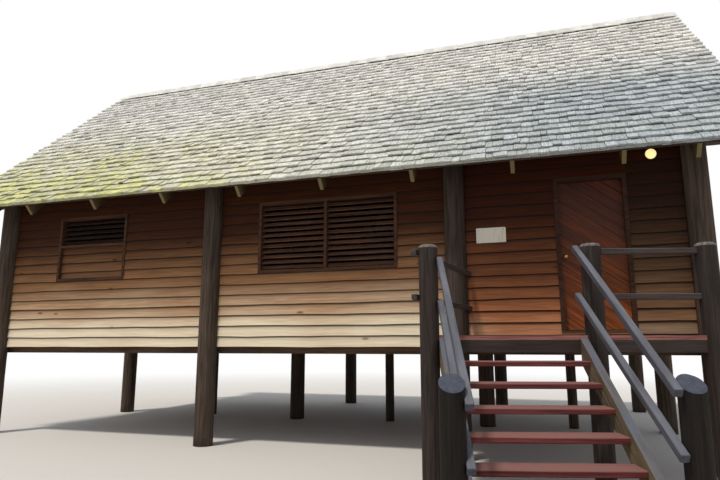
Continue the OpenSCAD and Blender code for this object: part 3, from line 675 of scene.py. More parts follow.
def lap_board(stack, sizes, place, axes, low, bottom, top, start, stop, tone, wear, skin=0):
    """One weatherboard or part of one: low is where the whole board starts, bottom and top what is kept."""
    height = sizes.exposure + sizes.lap
    butt = sizes.butt * blend(0.85, 1.15, tone)
    rebate, clear, thin, arris = sizes.butt * 0.42, 0.0005, 0.007, 0.003
    step, sway_by, exact, lap_shade = 0.25, 0.0022, 0.0001, 0.32
    # Dirt and painted shade: a dark line on the strip under the next board and on the butt's underside, and a
    # lighter painted shade of the lap that fades down over the board
    dark_line_from, lap_shade_from, lap_shade_to = (sizes.exposure - strip for strip in (0.01, 0.026, 0.08))
    faces = [(blend(butt, thin, z / height), z) for z in (dark_line_from, lap_shade_from, lap_shade_to, 2 * arris)]
    section = [(butt, arris), (butt - 0.002, 0.0), (rebate, 0.0), (rebate - 0.002, sizes.lap + arris),
               (clear, sizes.lap + arris), (clear, height), (thin, height), *faces]
    section = clip(section, (0, top - low), (0, 1))
    section = clip(section, (0, bottom - low), (0, -1))
    if len(section) < 3:
        return
    stops = max(1, round(abs(stop(0, low) - start(0, low)) / step))
    rings, soil = [], []
    for k in range(stops + 1):
        ring = []
        for depth, z in section:
            u = blend(start(depth, low + z), stop(depth, low + z), k / stops)
            sway = sway_by * noise.noise((u * 1.7, low * 9, 1.0)) * ease(0.5, 1.0, depth / butt)
            sawn = abs(low + z - top) < exact or (bottom > low and abs(low + z - bottom) < exact)
            share = min(1.0, z / sizes.exposure)
            wave = blend(edge_wave(u, low), edge_wave(u, low + sizes.exposure), share)
            ring.append(place(u, depth + sway, low + z + (0.0 if sawn else wave)))
            in_dark_line = z < arris - exact or z > dark_line_from - exact
            soil.append(1.0 if in_dark_line else lap_shade if z > lap_shade_from - exact else 0.0)
        rings.append(ring)
    stack.add(loft(rings), axes, tone=tone, wear=wear, soil=soil, skin=skin)


def board_rows(sizes, top_z):
    """Foot and head of each row of weatherboards, from the foot of the wall up to a level."""
    for row in range(math.ceil((top_z - WALL_BASE) / sizes.exposure)):
        low = WALL_BASE + row * sizes.exposure
        yield low, min(low + sizes.exposure + sizes.lap, top_z)


def board_parts(start, stop, low, high, openings):
    """A row's span less its openings, as (from, to, bottom, top), in order."""
    least = 0.004
    live = [o for o in openings if o[2] < high and o[3] > low]
    edges = sorted({start, stop, *(e for o in live for e in o[:2] if start < e < stop)})
    for a, b in zip(edges, edges[1:]):
        zones = [(low, high)]
        for left, right, bottom, top in live:
            if left < b and right > a:
                zones = [z for low_z, high_z in zones
                         for z in ((low_z, min(high_z, bottom)), (max(low_z, top), high_z))
                         if z[1] - z[0] > least]
        for bottom, top in zones:
            yield a, b, bottom, top


def bleach_and_eave_shade(p, shelter=0.0):
    """How pale the boards under the eaves are: straw at the foot, dark at the top, in soft patches. This is
    partly bleaching and partly painted light: painted shade of the eaves at the top and painted sunlight on
    the lowest boards. Most of the change comes between 3.35 and 2.15 m over the ground, and the rest on the
    lowest boards."""
    height = 0.62 * ease(3.35, 2.15, p.z) + 0.38 * ease(2.08, 1.7, p.z)
    patch = 0.14 * noise.noise((p.x * 0.9, 0.0, p.z * 3.0))
    return max(0.0, min(1.0, height * (1 - shelter + patch)))


def front_bleach_and_shade(p):
    """Less sun reaches the entry, so it is less bleached than the rest of the front; the darker entry is also
    painted shade.
    """
    return bleach_and_eave_shade(p, 0.42 * ease(POLE_XS[2] - 0.3, POLE_XS[2] + 0.6, p.x))


def panel_wear(p):
    """The window panels have bleached a little more than the boards round them."""
    return min(1.0, front_bleach_and_shade(p) + 0.02)


def gable_wear(p):
    """The gables bleach up to a greater height, as less roof hangs over them."""
    return ease(4.8, 1.7, p.z) * (0.85 + 0.2 * noise.noise((p.y, 4.0, p.z * 2)))


def front_openings():
    """Openings in the front wall, as (left, right, bottom, top). The boards reach up behind the sill."""
    behind_sill = 0.03
    boxes = [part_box(node) for node in ("window_a_frame", "window_b_frame", "door_frame")]
    bottoms = (boxes[0][0].z, boxes[1][0].z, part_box("door_sill")[1].z - behind_sill)
    return [(low.x, high.x, bottom, high.z) for (low, high), bottom in zip(boxes, bottoms)]


def clad_front(stack, sizes, to_back):
    """Weatherboards of the front, or of the back as its mirror without the doorway. The finish changes to the
    next one at the entry and again beside the door."""
    def place(u, depth, z):
        return Vector((u, HOUSE_D - WALL_FACE + depth if to_back else WALL_FACE - depth, z))

    axes = (AXIS_X, AXIS_Z, AXIS_Y)
    openings = front_openings()[:2] if to_back else front_openings()
    changes = () if to_back else (POLE_XS[2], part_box("door_frame")[1].x - 0.001)
    wear = bleach_and_eave_shade if to_back else front_bleach_and_shade
    for left_pole, right_pole in BAYS:
        left, right = left_pole + POLE_R, right_pole - POLE_R
        for low, high in board_rows(sizes, WALL_TOP):
            tone = stack.random.random()
            for a, b, bottom, top in board_parts(left, right, low, high, openings):
                start = scribed(left_pole, 1) if a == left else steady(a)
                stop = scribed(right_pole, -1) if b == right else steady(b)
                skin = sum(a > change for change in changes)
                lap_board(stack, sizes, place, axes, low, bottom, top, start, stop, tone, wear, skin)


def clad_gable(stack, sizes, to_right):
    """Weatherboards of a gable wall, cut to the slopes and scribed to the corner and ridge poles."""
    pole_end, slope_gap, ridge_gap = 4.2, 0.004, 0.03

    def place(u, depth, z):
        return Vector((RIGHT_FACE + depth if to_right else WALL_FACE - depth, u, z))

    def under_slope(z):
        return (z - EAVE_Z) / math.tan(PITCH) - EAVE_OUT + slope_gap

    def at_front(depth, z):
        return max(scribed(0.0, 1)(depth, z) if z < pole_end else 0.0, under_slope(z))

    def at_back(depth, z):
        return min(scribed(HOUSE_D, -1)(depth, z) if z < pole_end else HOUSE_D, HOUSE_D - under_slope(z))

    top_z = EAVE_Z + (HALF_D + EAVE_OUT) * math.tan(PITCH) - ridge_gap
    for low, high in board_rows(sizes, top_z):
        tone = stack.random.random()
        spans = [(at_front, at_back)]
        if high < RIDGE_BASE:
            spans = [(at_front, scribed(HALF_D, -1)), (scribed(HALF_D, 1), at_back)]
        for start, stop in spans:
            lap_board(stack, sizes, place, (AXIS_Y, AXIS_Z, AXIS_X), low, low, high, start, stop, tone,
                      gable_wear)


class HOUSE_OT_cladding(bpy.types.Operator):
    """Weatherboards on all four walls"""

    bl_idname = "house.cladding"
    bl_label = "Weatherboards"

    def execute(self, context):
        sizes = context.scene.house_cladding
        finishes = [cedar_cladding(sizes, "oiled_cedar_weatherboard"),
                    cedar_cladding(sizes, "red_oiled_cedar_weatherboard", sizes.entry),
                    # Darker right of the door: partly dirt and partly painted shade
                    cedar_cladding(sizes, "grimy_shaded_cedar_weatherboard", sizes.corner)]
        for seed, name, work, far_side in ((11, "front_weatherboards", clad_front, False),
                                           (12, "back_weatherboards", clad_front, True),
                                           (13, "left_gable_weatherboards", clad_gable, False),
                                           (14, "right_gable_weatherboards", clad_gable, True)):
            stack = Stack(seed)
            work(stack, sizes, far_side)
            stack.make(name, finishes)
        return {"FINISHED"}


class HOUSE_OT_window_panel(bpy.types.Operator):
    """Lapped boards that close the lower half of each small window"""

    bl_idname = "house.window_panel"
    bl_label = "Window panels"

    def execute(self, context):
        sizes = context.scene.house_cladding
        finish = cedar_cladding(sizes, "oiled_cedar_panel_board")
        axes = (AXIS_X, AXIS_Z, AXIS_Y)
        inset = 0.001
        for seed, name, node, to_back in ((51, "front_panel_boards", "window_a_panel", False),
                                          (52, "back_panel_boards", "back_window_panel", True)):
            stack = Stack(seed)
            low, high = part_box(node)
            face, outward = (high.y, 1) if to_back else (low.y, -1)

            def place(u, depth, z):
                return Vector((u, face + outward * (depth - sizes.butt), z))

            ends = steady(low.x + inset), steady(high.x - inset)
            for row, row_top in board_rows(sizes, high.z):
                if row + sizes.exposure > low.z:
                    lap_board(stack, sizes, place, axes, row, max(row, low.z), row_top, *ends,
                              stack.random.random(), panel_wear)
            stack.make(name, [finish], [node])
        return {"FINISHED"}


def slope_point(x, s, n, to_back):
    """A point s up the roof slope from the eave edge and n above the slope's underside."""
    y = -EAVE_OUT + s * math.cos(PITCH) - n * math.sin(PITCH)
    z = EAVE_Z + s * math.sin(PITCH) + n * math.cos(PITCH)
    return Vector((x, HOUSE_D - y if to_back else y, z))


def ridge_reach(n):
    """How far up the slope the ridge lies at that height above the slope's underside."""
    return (HALF_D + EAVE_OUT + n * math.sin(PITCH)) / math.cos(PITCH)


def damp(p):
    """How mossy the roof is: most near the eaves over the leftmost 2 m, and little near the ridge or beyond
    8.6 m."""
    up = (p.z - EAVE_Z) / (math.sin(PITCH) * ridge_reach(0))
    left = 1 - ease(2.0, 8.6, p.x)
    low = 1 - ease(0.0, blend(0.35, 0.75, left), up)
    return 0.52 * low * (0.2 + 0.8 * left) + 0.14 * noise.noise((p.x * 0.8, p.y * 0.8, p.z * 0.8))


def shake(stack, x0, x1, s0, s1, covered, base, lift, butt, to_back, tone):
    """A split shake from its butt at s0 to its thin top at s1, lying on what is below it. The next course
    covers it from there up. Its butt and underside, and a strip just below that line, are darkened by dirt
    and painted shadow, most on the lower half of the roof."""
    chance = stack.random
    count = 4
    thin, dark_line_width = 0.005, 0.016
    up = s0 / ridge_reach(0)
    grime_and_shade = chance.uniform(0.1, 0.9) * blend(1.0, 0.1, min(1.0, 1.6 * up)) if s0 > 0.04 else 0.1
    rings, soil = [], []
    for s in (s0, covered - dark_line_width, covered, s1):
        t = (s - s0) / (s1 - s0)
        under, thick = blend(base, lift, t), blend(butt, thin, t)
        ring = []
        for i in range(count):
            ragged = chance.uniform(-0.007, 0.007) if s == s0 else 0.0
            rough = chance.uniform(-0.0025, 0.0025) * (1 - t)
            ring.append((blend(x0, x1, i / (count - 1)), s + ragged, under + thick + rough))
        ring += [(x1, s, under), (x0, s, under)]
        rings.append([slope_point(x, min(s, ridge_reach(n) - 0.003), n, to_back) for x, s, n in ring])
        soil += [grime_and_shade if s >= covered else 0.0] * count + [grime_and_shade] * 2
    up_slope = Vector((0, -math.cos(PITCH) if to_back else math.cos(PITCH), math.sin(PITCH)))
    stack.add(loft(rings), (up_slope, AXIS_X, up_slope.cross(AXIS_X)), tone=tone, wear=damp, soil=soil)


def lay_shakes(stack, sizes, to_back):
    """Lays the courses of one slope over their battens, from the eave to the ridge. Two short starter courses
    lie under the first one."""
    chance = stack.random
    batten, batten_w, first_batten, foot, batten_in, verge = 0.024, 0.1, 0.02, 0.001, 0.004, 0.003
    seat, starter_t, starter_cut, least_cover, sliver = 0.033, 0.016, 0.16, 0.12, 0.06
    courses = int(ridge_reach(0) / sizes.exposure)
    for k in range(courses + 1):
        s = first_batten + k * sizes.exposure
        if s + batten_w < ridge_reach(0):
            section = ((s, foot), (s + batten_w, foot), (s + batten_w, batten), (s, batten))
            stack.add(loft([[slope_point(x, at, n, to_back) for at, n in section]
                            for x in (VERGE_L + batten_in, VERGE_R - batten_in)]),
                      (AXIS_X, AXIS_Y, AXIS_Z), tone=0.3, skin=1)
    for k in range(-2, courses):
        under = batten + (seat if k >= 0 else starter_t * (k + 2))
        stagger = (-0.022, 0.024) if k > 0 else (-0.008, 0.02) if k == 0 else (0.012, 0.026)
        x = VERGE_L + verge
        while x < VERGE_R - 0.02:
            x1 = min(x + chance.uniform(sizes.narrowest, sizes.widest), VERGE_R - verge)
            if VERGE_R - x1 < sliver:
                x1 = VERGE_R - verge
            gap = chance.uniform(0.002, 0.007)
            s0 = max(k, 0) * sizes.exposure + chance.uniform(*stagger)
            s1 = s0 + sizes.length - (starter_cut if k < 0 else 0)
            covered = max((k + 1) * sizes.exposure, s0 + least_cover)
            curl = chance.choice((0, 0, 0.002, 0.005, 0.009)) if k >= 0 else 0
            thick = sizes.butt * chance.uniform(0.65, 1.12) if k >= 0 else 0.015
            shake(stack, x, x1 - gap, s0, s1, covered, under + curl, batten, thick, to_back, chance.random())
            x = x1


class HOUSE_OT_roof(bpy.types.Operator):
    """Split shakes on both slopes, in courses over battens, and the ridge boards"""

    bl_idname = "house.roof"
    bl_label = "Shake roof"

    def execute(self, context):
        sizes = context.scene.house_roof
        face = split_shake(sizes)
        # The battens are darkened to stand for the shade under the eaves: painted shade
        under = sawn_hardwood("sawn_hardwood_batten", "x", "#241a12", "#422f20", "#5d5347")
        for seed, name, node, to_back in ((21, "front_shakes", "roof_front", False),
                                          (22, "back_shakes", "roof_back", True)):
            stack = Stack(seed)
            lay_shakes(stack, sizes, to_back)
            stack.make(name, [face, under], [node])
        self.cap(face)
        return {"FINISHED"}

    def cap(self, face):
        """Ridge shakes in overlapping pairs, one on each slope."""
        stack = Stack(23)
        chance = stack.random
        usual_step, overlap, sunk = 0.21, 1.35, 0.016
        count = int((VERGE_R - VERGE_L) / usual_step)
        step = (VERGE_R - VERGE_L) / count
        butt, thin, near_ridge = 0.028, 0.011, 0.001
        for to_back in (False, True):
            for k in range(count):
                x0 = VERGE_L + k * step + 0.002
                x1 = min(x0 + step * overlap, VERGE_R - 0.001)
                width = 0.2 + chance.uniform(-0.008, 0.008)
                rings = []
                for x, rise in ((x0, 0.010), (x1, 0.001)):
                    low = ROOF_T - sunk + rise
                    high = low + butt
                    section = ((ridge_reach(low) - width, low), (ridge_reach(low) - near_ridge, low),
                               (ridge_reach(high) - near_ridge, high), (ridge_reach(low) - width, low + thin))
                    rings.append([slope_point(x, s, n, to_back) for s, n in section])
                stack.add(loft(rings), (AXIS_X, AXIS_Y, AXIS_Z), tone=chance.random(), wear=0.05)
        stack.make("ridge_shakes", [face], ["ridge_cap"])


def flat_top(height):
    """A level saw cut at that height."""
    return lambda x, y: height


def cut_top(height):
    """The sloped saw cut of a foot newel, which falls towards the foot of the stair."""
    fall = math.tan(math.radians(33))
    return lambda x, y: height - (x * DOWN_STAIR.x + y * DOWN_STAIR.y) * fall


class HOUSE_OT_poles(bpy.types.Operator):
    """Round poles of the house, the stumps, and the newels of the deck and stair"""

    bl_idname = "house.poles"
    bl_label = "Poles"

    def execute(self, context):
        sizes = context.scene.house_poles
        stain = pole_timber("brown_stained_pole", "#2b211a", sizes.brown, "#786d61")
        newel_stain = pole_timber("charcoal_stained_newel", "#1e1815", sizes.charcoal, "#5f5854")
        # The foot newels get a darker copy of the newel stain: painted shade
        shaded_foot_stain = pole_timber("painted_shade_black_newel", "#0f0c0a", sizes.black, "#2f2a27")
        sawn_end = end_grain("weathered_pole_end", "#4d4847", "#746d6a")
        cut_end = end_grain("slate_grey_pole_end", "#343944", "#414755")
        plain_cap = [(0.0, 1.0), (0.0, 0.6), (0.0, 0.05)]
        for seed, node, y, top in ((31, "front_poles", 0.0, WALL_TOP),
                                   (32, "ridge_poles", HALF_D, RIDGE_BASE),
                                   (33, "back_poles", HOUSE_D, WALL_TOP)):
            stack = Stack(seed)
            for x in POLE_XS:
                log(stack, Vector((x, y, 0)), POLE_R, flat_top(top), plain_cap, sizes.facets, flutes=0.003)
            stack.make(node + "_round", [stain, sawn_end], [node])
        self.stumps([stain, sawn_end], plain_cap)
        self.newels([newel_stain, sawn_end, shaded_foot_stain, cut_end], sizes.facets)
        return {"FINISHED"}

    def stumps(self, finishes, cap):
        stack = Stack(34)
        low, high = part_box("floor_stumps")
        for left, right in BAYS:
            foot = Vector(((left + right) / 2, (low.y + high.y) / 2, 0))
            log(stack, foot, (high.y - low.y) / 2, flat_top(high.z), cap, 28)
        stack.make("floor_stumps_round", finishes, ["floor_stumps"])

    def newels(self, finishes, facets):
        """Domed newels round the deck, and sloped saw cuts at the foot of the stair."""
        stack = Stack(35)
        rounding, steps, foot_drop, ring_step = 0.035, 5, 0.35, 0.1
        turns = [math.pi / 2 * i / steps for i in range(1, steps + 1)]
        dome = [(rounding, 1.0), *((rounding * (1 - math.sin(t)), 1 - rounding / NEWEL_R * (1 - math.cos(t)))
                                   for t in turns), (-0.001, 0.35), (-0.001, 0.05)]
        for foot in (HEAD_LEFT, HEAD_RIGHT, CORNER):
            log(stack, foot, NEWEL_R, flat_top(NEWEL_TOP - 0.002), dome, facets, ring_step, checks=4)
        cut = [(0.004, 1.0), (0.0, 0.97), (0.0, 0.6), (0.0, 0.05)]
        for foot in (FOOT_LEFT, FOOT_RIGHT):
            log(stack, foot, FOOT_NEWEL_R, cut_top(DECK_Z - foot_drop), cut, facets, ring_step, checks=4,
                skins=(2, 3))
        stack.make("newels_round", finishes, ["newel_posts"])


class HOUSE_OT_framing(bpy.types.Operator):
    """Finishes of the timbers and metalwork that the frame already has in shape"""

    bl_idname = "house.framing"
    bl_label = "Framing and metalwork"

    def execute(self, context):
        """Each row has a finish and the nodes of the frame that take it."""
        for finish, nodes in (
                (sawn_hardwood("sawn_hardwood_across", "x"), "bearers top_plates ridge_beam door_sill"),
                (sawn_hardwood("sawn_hardwood_deep", "y"), "floor_joists rim_joists barge_boards"),
                # Stained with the deck: near black, with a little brown
                (sawn_hardwood("stained_sawn_hardwood", "skew", "#231b18", "#3a2f2a", "#5f5856"),
                 "deck_frame"),
                (rafter_timber("sawn_rafter_front", -1), "front_rafters"),
                (rafter_timber("sawn_rafter_back", 1), "back_rafters"),
                # Olive brown sides, and top edges worn to slate grey
                (timber("slate_topped_hardwood", "stair", "#443b2b", "#76674b", "#646977", 0.06, 0.85,
                        rough=0.8)[0], "stair_stringers"),
                # Planed and never in the sun: warm tan with a broad, quiet figure
                (timber("planed_cedar_lining", "x", "#7a5234", "#b08257", "#a99a86", 0.05, 0.0,
                        streak_mm=60)[0],
                 "front_wall_a front_wall_b front_wall_c_left front_wall_c_right front_wall_over_door "
                 "left_gable_wall right_gable_wall back_wall_a back_wall_b back_wall_c"),
                # Oiled like the boards round it, a little darker
                (timber("oiled_cedar_joinery", "x", "#321e12", "#573824", "#6d5f53", 0.08, 0.12)[0],
                 "window_a_frame window_b_frame back_window_frames"),
                # The door's frame is a darker copy of the window frames' oiled cedar: painted shade of its
                # deep reveal
                (timber("painted_shade_oiled_joinery", "x", "#26170f", "#43291b", "#5b5048", 0.06, 0.15)[0],
                 "door_frame"),
                # Thin planed blades, a little shinier than the boards; the small window's are a nearly black
                # copy of the same blades, painted shade
                (timber("brown_oiled_blades", "x", "#3a2316", "#7a5036", "#7a706a", 0.08, 0.2,
                        rough=0.55)[0], "window_b_louvres back_window_louvres"),
                (timber("painted_shade_oiled_blades", "x", "#1c120c", "#3a281c", "#575150", 0.05, 0.2,
                        rough=0.55)[0], "window_a_louvres"),
                (metal_finish("brushed_hinge_steel", "#a9a8a4", 0.36, 3),
                 "door_hinge_plates door_hinge_pins"),
                (metal_finish("worn_cast_brass", "#b9924f", 0.3, 6), "door_knobs"),
                (metal_finish("painted_lamp_steel", "#3c3b3c", 0.5, 5, 0.0), "porch_light_base"),
                (lit_glass(), "porch_light_globe")):
            for node in nodes.split():
                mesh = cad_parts[node].data
                mesh.materials.clear()
                mesh.materials.append(finish)
        return {"FINISHED"}


class HOUSE_OT_floor(bpy.types.Operator):
    """Floor boards of the house"""

    bl_idname = "house.floor"
    bl_label = "Floor boards"

    def execute(self, context):
        # Planed and walked on indoors: honey brown with a low sheen
        finish = timber("planed_hardwood_floor", "board", "#6f4a30", "#a87c55", "#94856f", 0.1, 0.05,
                        rough=0.5)[0]
        stack = Stack(41)
        low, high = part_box("floor_boards")
        board, gap, shortest = 0.13, 0.0008, 0.05
        rows = int((high.y - low.y) / board)
        width = (high.y - low.y) / rows
        mid = (low.z + high.z) / 2
        for row in range(rows):
            y = low.y + (row + 0.5) * width
            cuts = [low.x, *sorted(stack.random.uniform(1.5, 9.5) for _ in range(2)), high.x]
            for a, b in zip(cuts, cuts[1:]):
                if b - a > shortest:
                    bar(stack, Vector((a + gap, y, mid)), Vector((b - gap, y, mid)),
                        width - 1.5 * gap, high.z - low.z, 0.0012, step=9.0)
        stack.make("floor_boarding", [finish], ["floor_boards"])
        return {"FINISHED"}


class HOUSE_OT_door(bpy.types.Operator):
    """The boarded door: diagonal boards outside, ledges and stiles inside"""

    bl_idname = "house.door"
    bl_label = "Door"

    def execute(self, context):
        sizes = context.scene.house_door
        stack = Stack(61)
        low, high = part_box("entry_door")
        skin, gap, rim, half_lining = 0.02, 0.0015, 0.002, 0.004
        corners = ((low.x, low.z, 1, 1), (high.x, low.z, -1, 1), (high.x, high.z, -1, -1),
                   (low.x, high.z, 1, -1))
        leaf = [(x, z) for x, z, _, _ in corners]
        run = Vector((math.cos(sizes.slope), -math.sin(sizes.slope)))
        side = Vector((math.sin(sizes.slope), math.cos(sizes.slope)))
        reach = high.z - low.z + high.x - low.x
        half_count = int(2 * reach / sizes.board) // 2
        centre = Vector(((low.x + high.x) / 2, (low.z + high.z) / 2))
        axes = (Vector((run.x, 0, run.y)), Vector((side.x, 0, side.y)), AXIS_Y)

        def darker_to_top(p):
            return ease(low.z + 0.5, high.z - 0.4, p.z)

        for k in range(-half_count, half_count + 1):
            a = centre + side * (k * sizes.board + gap)
            b = centre + side * ((k + 1) * sizes.board - gap)
            strip = [tuple(p) for p in (a - run * reach, a + run * reach, b + run * reach, b - run * reach)]
            outline = within(strip, leaf)
            if len(outline) > 2:
                stack.add(slab(outline, low.y + skin, low.y, upright, 0.003), axes, wear=darker_to_top)
        backing = [(x + rim * to_x, z + rim * to_z) for x, z, to_x, to_z in corners]
        stack.add(slab(backing, low.y + skin - half_lining, low.y + skin + half_lining, upright), axes,
                  tone=0.2)
        self.inner_frame(stack, low, high, skin)
        stack.make("boarded_door", [oiled_door(sizes)], ["entry_door"], DOOR)
        return {"FINISHED"}

    def inner_frame(self, stack, low, high, skin):
        """Stiles and rails on the room side."""
        stile, thick = 0.11, high.y - low.y - skin
        y = high.y - thick / 2
        for x in (low.x + stile / 2, high.x - stile / 2):
            bar(stack, Vector((x, y, low.z)), Vector((x, y, high.z)), thick, stile, 0.003, step=3.0)
        for z, deep in ((low.z + 0.09, 0.18), (low.z + 0.95, 0.14), (high.z - 0.06, 0.12)):
            bar(stack, Vector((low.x + stile, y, z)), Vector((high.x - stile, y, z)), thick, deep, 0.003,
                step=3.0)


class HOUSE_OT_number_plate(bpy.types.Operator):
    """The bare number plate, screwed to the boards"""

    bl_idname = "house.number_plate"
    bl_label = "Number plate"

    def execute(self, context):
        stack = Stack(71)
        low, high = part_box("number_plate")
        corner, screw_in, screw_r = 0.012, 0.03, 0.006
        outline = []
        for cx, cz, start in ((high.x - corner, high.z - corner, 0), (low.x + corner, high.z - corner, 90),
                              (low.x + corner, low.z + corner, 180), (high.x - corner, low.z + corner, 270)):
            for turn in (0, 30, 60, 90):
                angle = math.radians(start + turn)
                outline.append((cx + corner * math.cos(angle), cz + corner * math.sin(angle)))
        axes = (AXIS_X, AXIS_Z, AXIS_Y)
        plate_t, sunk, screw_head = 0.007, 0.001, 0.003
        stack.add(slab(outline, low.y + plate_t, low.y, upright, 0.0015), axes)
        middle_x, middle_z = (low.x + high.x) / 2, (low.z + high.z) / 2
        rim = [(blend(u, middle_x, 0.06), blend(v, middle_z, 0.1)) for u, v in outline]
        stack.add(slab(rim, high.y - sunk, low.y + plate_t - sunk, upright), axes)
        for x in (low.x + screw_in, high.x - screw_in):
            for z in (low.z + screw_in, high.z - screw_in):
                head = circle(screw_r, 12, (x, z))
                stack.add(slab(head, low.y + sunk, low.y - screw_head, upright, 0.002), axes, skin=1)
        finishes = [sign_enamel(), metal_finish("zinc_plated_screw", "#9a9a98", 0.4, 4)]
        stack.make("bare_number_plate", finishes, ["number_plate"])
        return {"FINISHED"}


def crossing(p, along, q, other):
    """Where two level lines meet, each given as a point and a direction."""
    gap = q - p
    return p + along * ((gap.x * other.y - gap.y * other.x) / (along.x * other.y - along.y * other.x))


def deck_outline():
    """Plan of the deck, counter-clockwise, as the frame's deck has it."""
    low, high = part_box("deck_boards")
    front = HEAD_LEFT + DOWN_STAIR * BEAM_HALF
    side = (Vector((POLE_XS[3], 0, 0)) - CORNER).normalized()
    right = CORNER + Vector((side.y, -side.x, 0)) * BEAM_HALF
    a = crossing(Vector((low.x, 0, 0)), AXIS_Y, front, ALONG_EDGE)
    b = crossing(front, ALONG_EDGE, right, side)
    c = crossing(right, side, Vector((0, high.y, 0)), AXIS_X)
    return [(a.x, a.y), (b.x, b.y), (c.x, c.y), (low.x, high.y)]


class HOUSE_OT_deck(bpy.types.Operator):
    """Deck boards, laid in line with the skewed front edge"""

    bl_idname = "house.deck"
    bl_label = "Deck boards"

    def execute(self, context):
        sizes = context.scene.house_deck
        stack = Stack(81)
        region = deck_outline()
        reach, rows, under_frame_top = 6.0, 40, 0.0005
        for k in range(rows):
            near = HEAD_LEFT + DOWN_STAIR * (BEAM_HALF - k * (sizes.board + sizes.gap))
            far = near - DOWN_STAIR * sizes.board
            strip = [(p + ALONG_EDGE * along)[:2] for p, along in ((near, -reach), (near, reach),
                                                                   (far, reach), (far, -reach))]
            outline = within(strip, region)
            if len(outline) > 2:
                stack.add(slab(outline, DECK_Z - DECK_T, DECK_Z - under_frame_top, flat, 0.003),
                          (ALONG_EDGE, DOWN_STAIR, AXIS_Z))
        finish = stained_decking("worn_red_decking", "#6e4039", sizes.stain, sizes.worn)
        stack.make("deck_boarding", [finish], ["deck_boards"])
        return {"FINISHED"}


class HOUSE_OT_rails(bpy.types.Operator):
    """Rails round the deck and down both sides of the stair"""

    bl_idname = "house.rails"
    bl_label = "Rails"

    def execute(self, context):
        self.deck(planed_rail("brown_planed_rail", "#2a2422", "#453d3a", "#76716f", 0.12))
        self.stair(planed_rail("slate_planed_rail", "#2f2e31", "#4c4a50", "#83858f", 0.2))
        return {"FINISHED"}

    def deck(self, finish):
        """Rails on the left run outside their newel and pole, the others are let into theirs."""
        stack = Stack(91)
        bury, clear = 0.01, 0.001
        outside = NEWEL_R + RAIL / 2 + FIT
        pole = Vector((POLE_XS[3], 0, 0))
        for level in RAIL_LEVELS:
            z = DECK_Z + level
            start = HEAD_LEFT + Vector((-outside, -NEWEL_R, 0))
            end = Vector((POLE_XS[2] + POLE_R + RAIL / 2 + clear, 0, 0))
            bar(stack, lifted(start, z), lifted(end, z), RAIL, RAIL, 0.006, 0.004)
            for p, q, radius in ((HEAD_RIGHT, CORNER, NEWEL_R), (CORNER, pole, POLE_R)):
                way = (q - p).normalized()
                bar(stack, lifted(p + way * (NEWEL_R - bury), z), lifted(q - way * (radius - bury), z),
                    RAIL, RAIL, 0.006, 0.004)
        stack.make("deck_railing", [finish], ["deck_rails"])

    def stair(self, finish):
        """The left pair is let into its newels and starts past the head one, the right pair runs beside."""
        stack = Stack(92)
        past = 0.1
        for side, head, foot, housing, before, levels in (
                (1, HEAD_LEFT, FOOT_LEFT, 0.02, -0.06, ((0.82, 0.455), (0.37, 0.86))),
                (-1, HEAD_RIGHT, FOOT_RIGHT, 0.0, past, ((0.87, 0.36), (0.37, 0.77)))):
            beside = RAIL / 2 + FIT - housing
            for up, drop in levels:
                start = lifted(head + ALONG_EDGE * side * (NEWEL_R + beside), DECK_Z + up)
                end = lifted(foot + ALONG_EDGE * side * (FOOT_NEWEL_R + beside), DECK_Z - drop)
                way = (end - start).normalized()
                bar(stack, start - way * before, end + way * past, RAIL, RAIL, 0.005, 0.003)
        stack.make("stair_railing", [finish], ["stair_rails"])


def stringer_faces(s):
    """Inner faces of the two stringers at s down the stair, measured across it from the left newels."""
    into = 0.065
    thinner = NEWEL_R - FOOT_NEWEL_R
    t = s / NEWEL_RUN
    return NEWEL_R + into - thinner * t, HEAD_W - NEWEL_R - into - (HEAD_W - FOOT_W - thinner) * t


class HOUSE_OT_treads(bpy.types.Operator):
    """Open treads between the stringers, their arrises eased and their noses a little worn"""

    bl_idname = "house.treads"
    bl_label = "Treads"

    def execute(self, context):
        sizes = context.scene.house_deck
        stack = Stack(95)
        count, stops = 7, 8
        first_drop, first_nose, depth, thick = 0.25, 0.33, 0.29, 0.05
        eased, worn_by = 0.006, 0.003
        for k in range(count):
            nose = first_nose + k * GOING
            back, top = nose - depth, DECK_Z - first_drop - k * RISER
            base = top - thick
            section = ((nose, base + eased), (nose, top - eased), (nose - eased, top), (back + eased, top),
                       (back, top - eased), (back, base + eased), (back + eased, base), (nose - eased, base))
            rings = []
            for i in range(stops + 1):
                ring = []
                for s, z in section:
                    left, right = stringer_faces(s)
                    across = blend(left + FIT, right - FIT, i / stops)
                    on_nose = s > back + depth / 2 and z > base + eased
                    worn = worn_by * math.sin(math.pi * i / stops) if on_nose else 0.0
                    ring.append(lifted(HEAD_LEFT + ALONG_EDGE * across + DOWN_STAIR * (s - worn), z - worn))
                rings.append(ring)
            stack.add(loft(rings), (ALONG_EDGE, DOWN_STAIR, AXIS_Z))
        finish = stained_decking("red_stained_tread", "#471c18", sizes.tread, sizes.worn)
        stack.make("stair_tread_boards", [finish], ["stair_treads"])
        return {"FINISHED"}


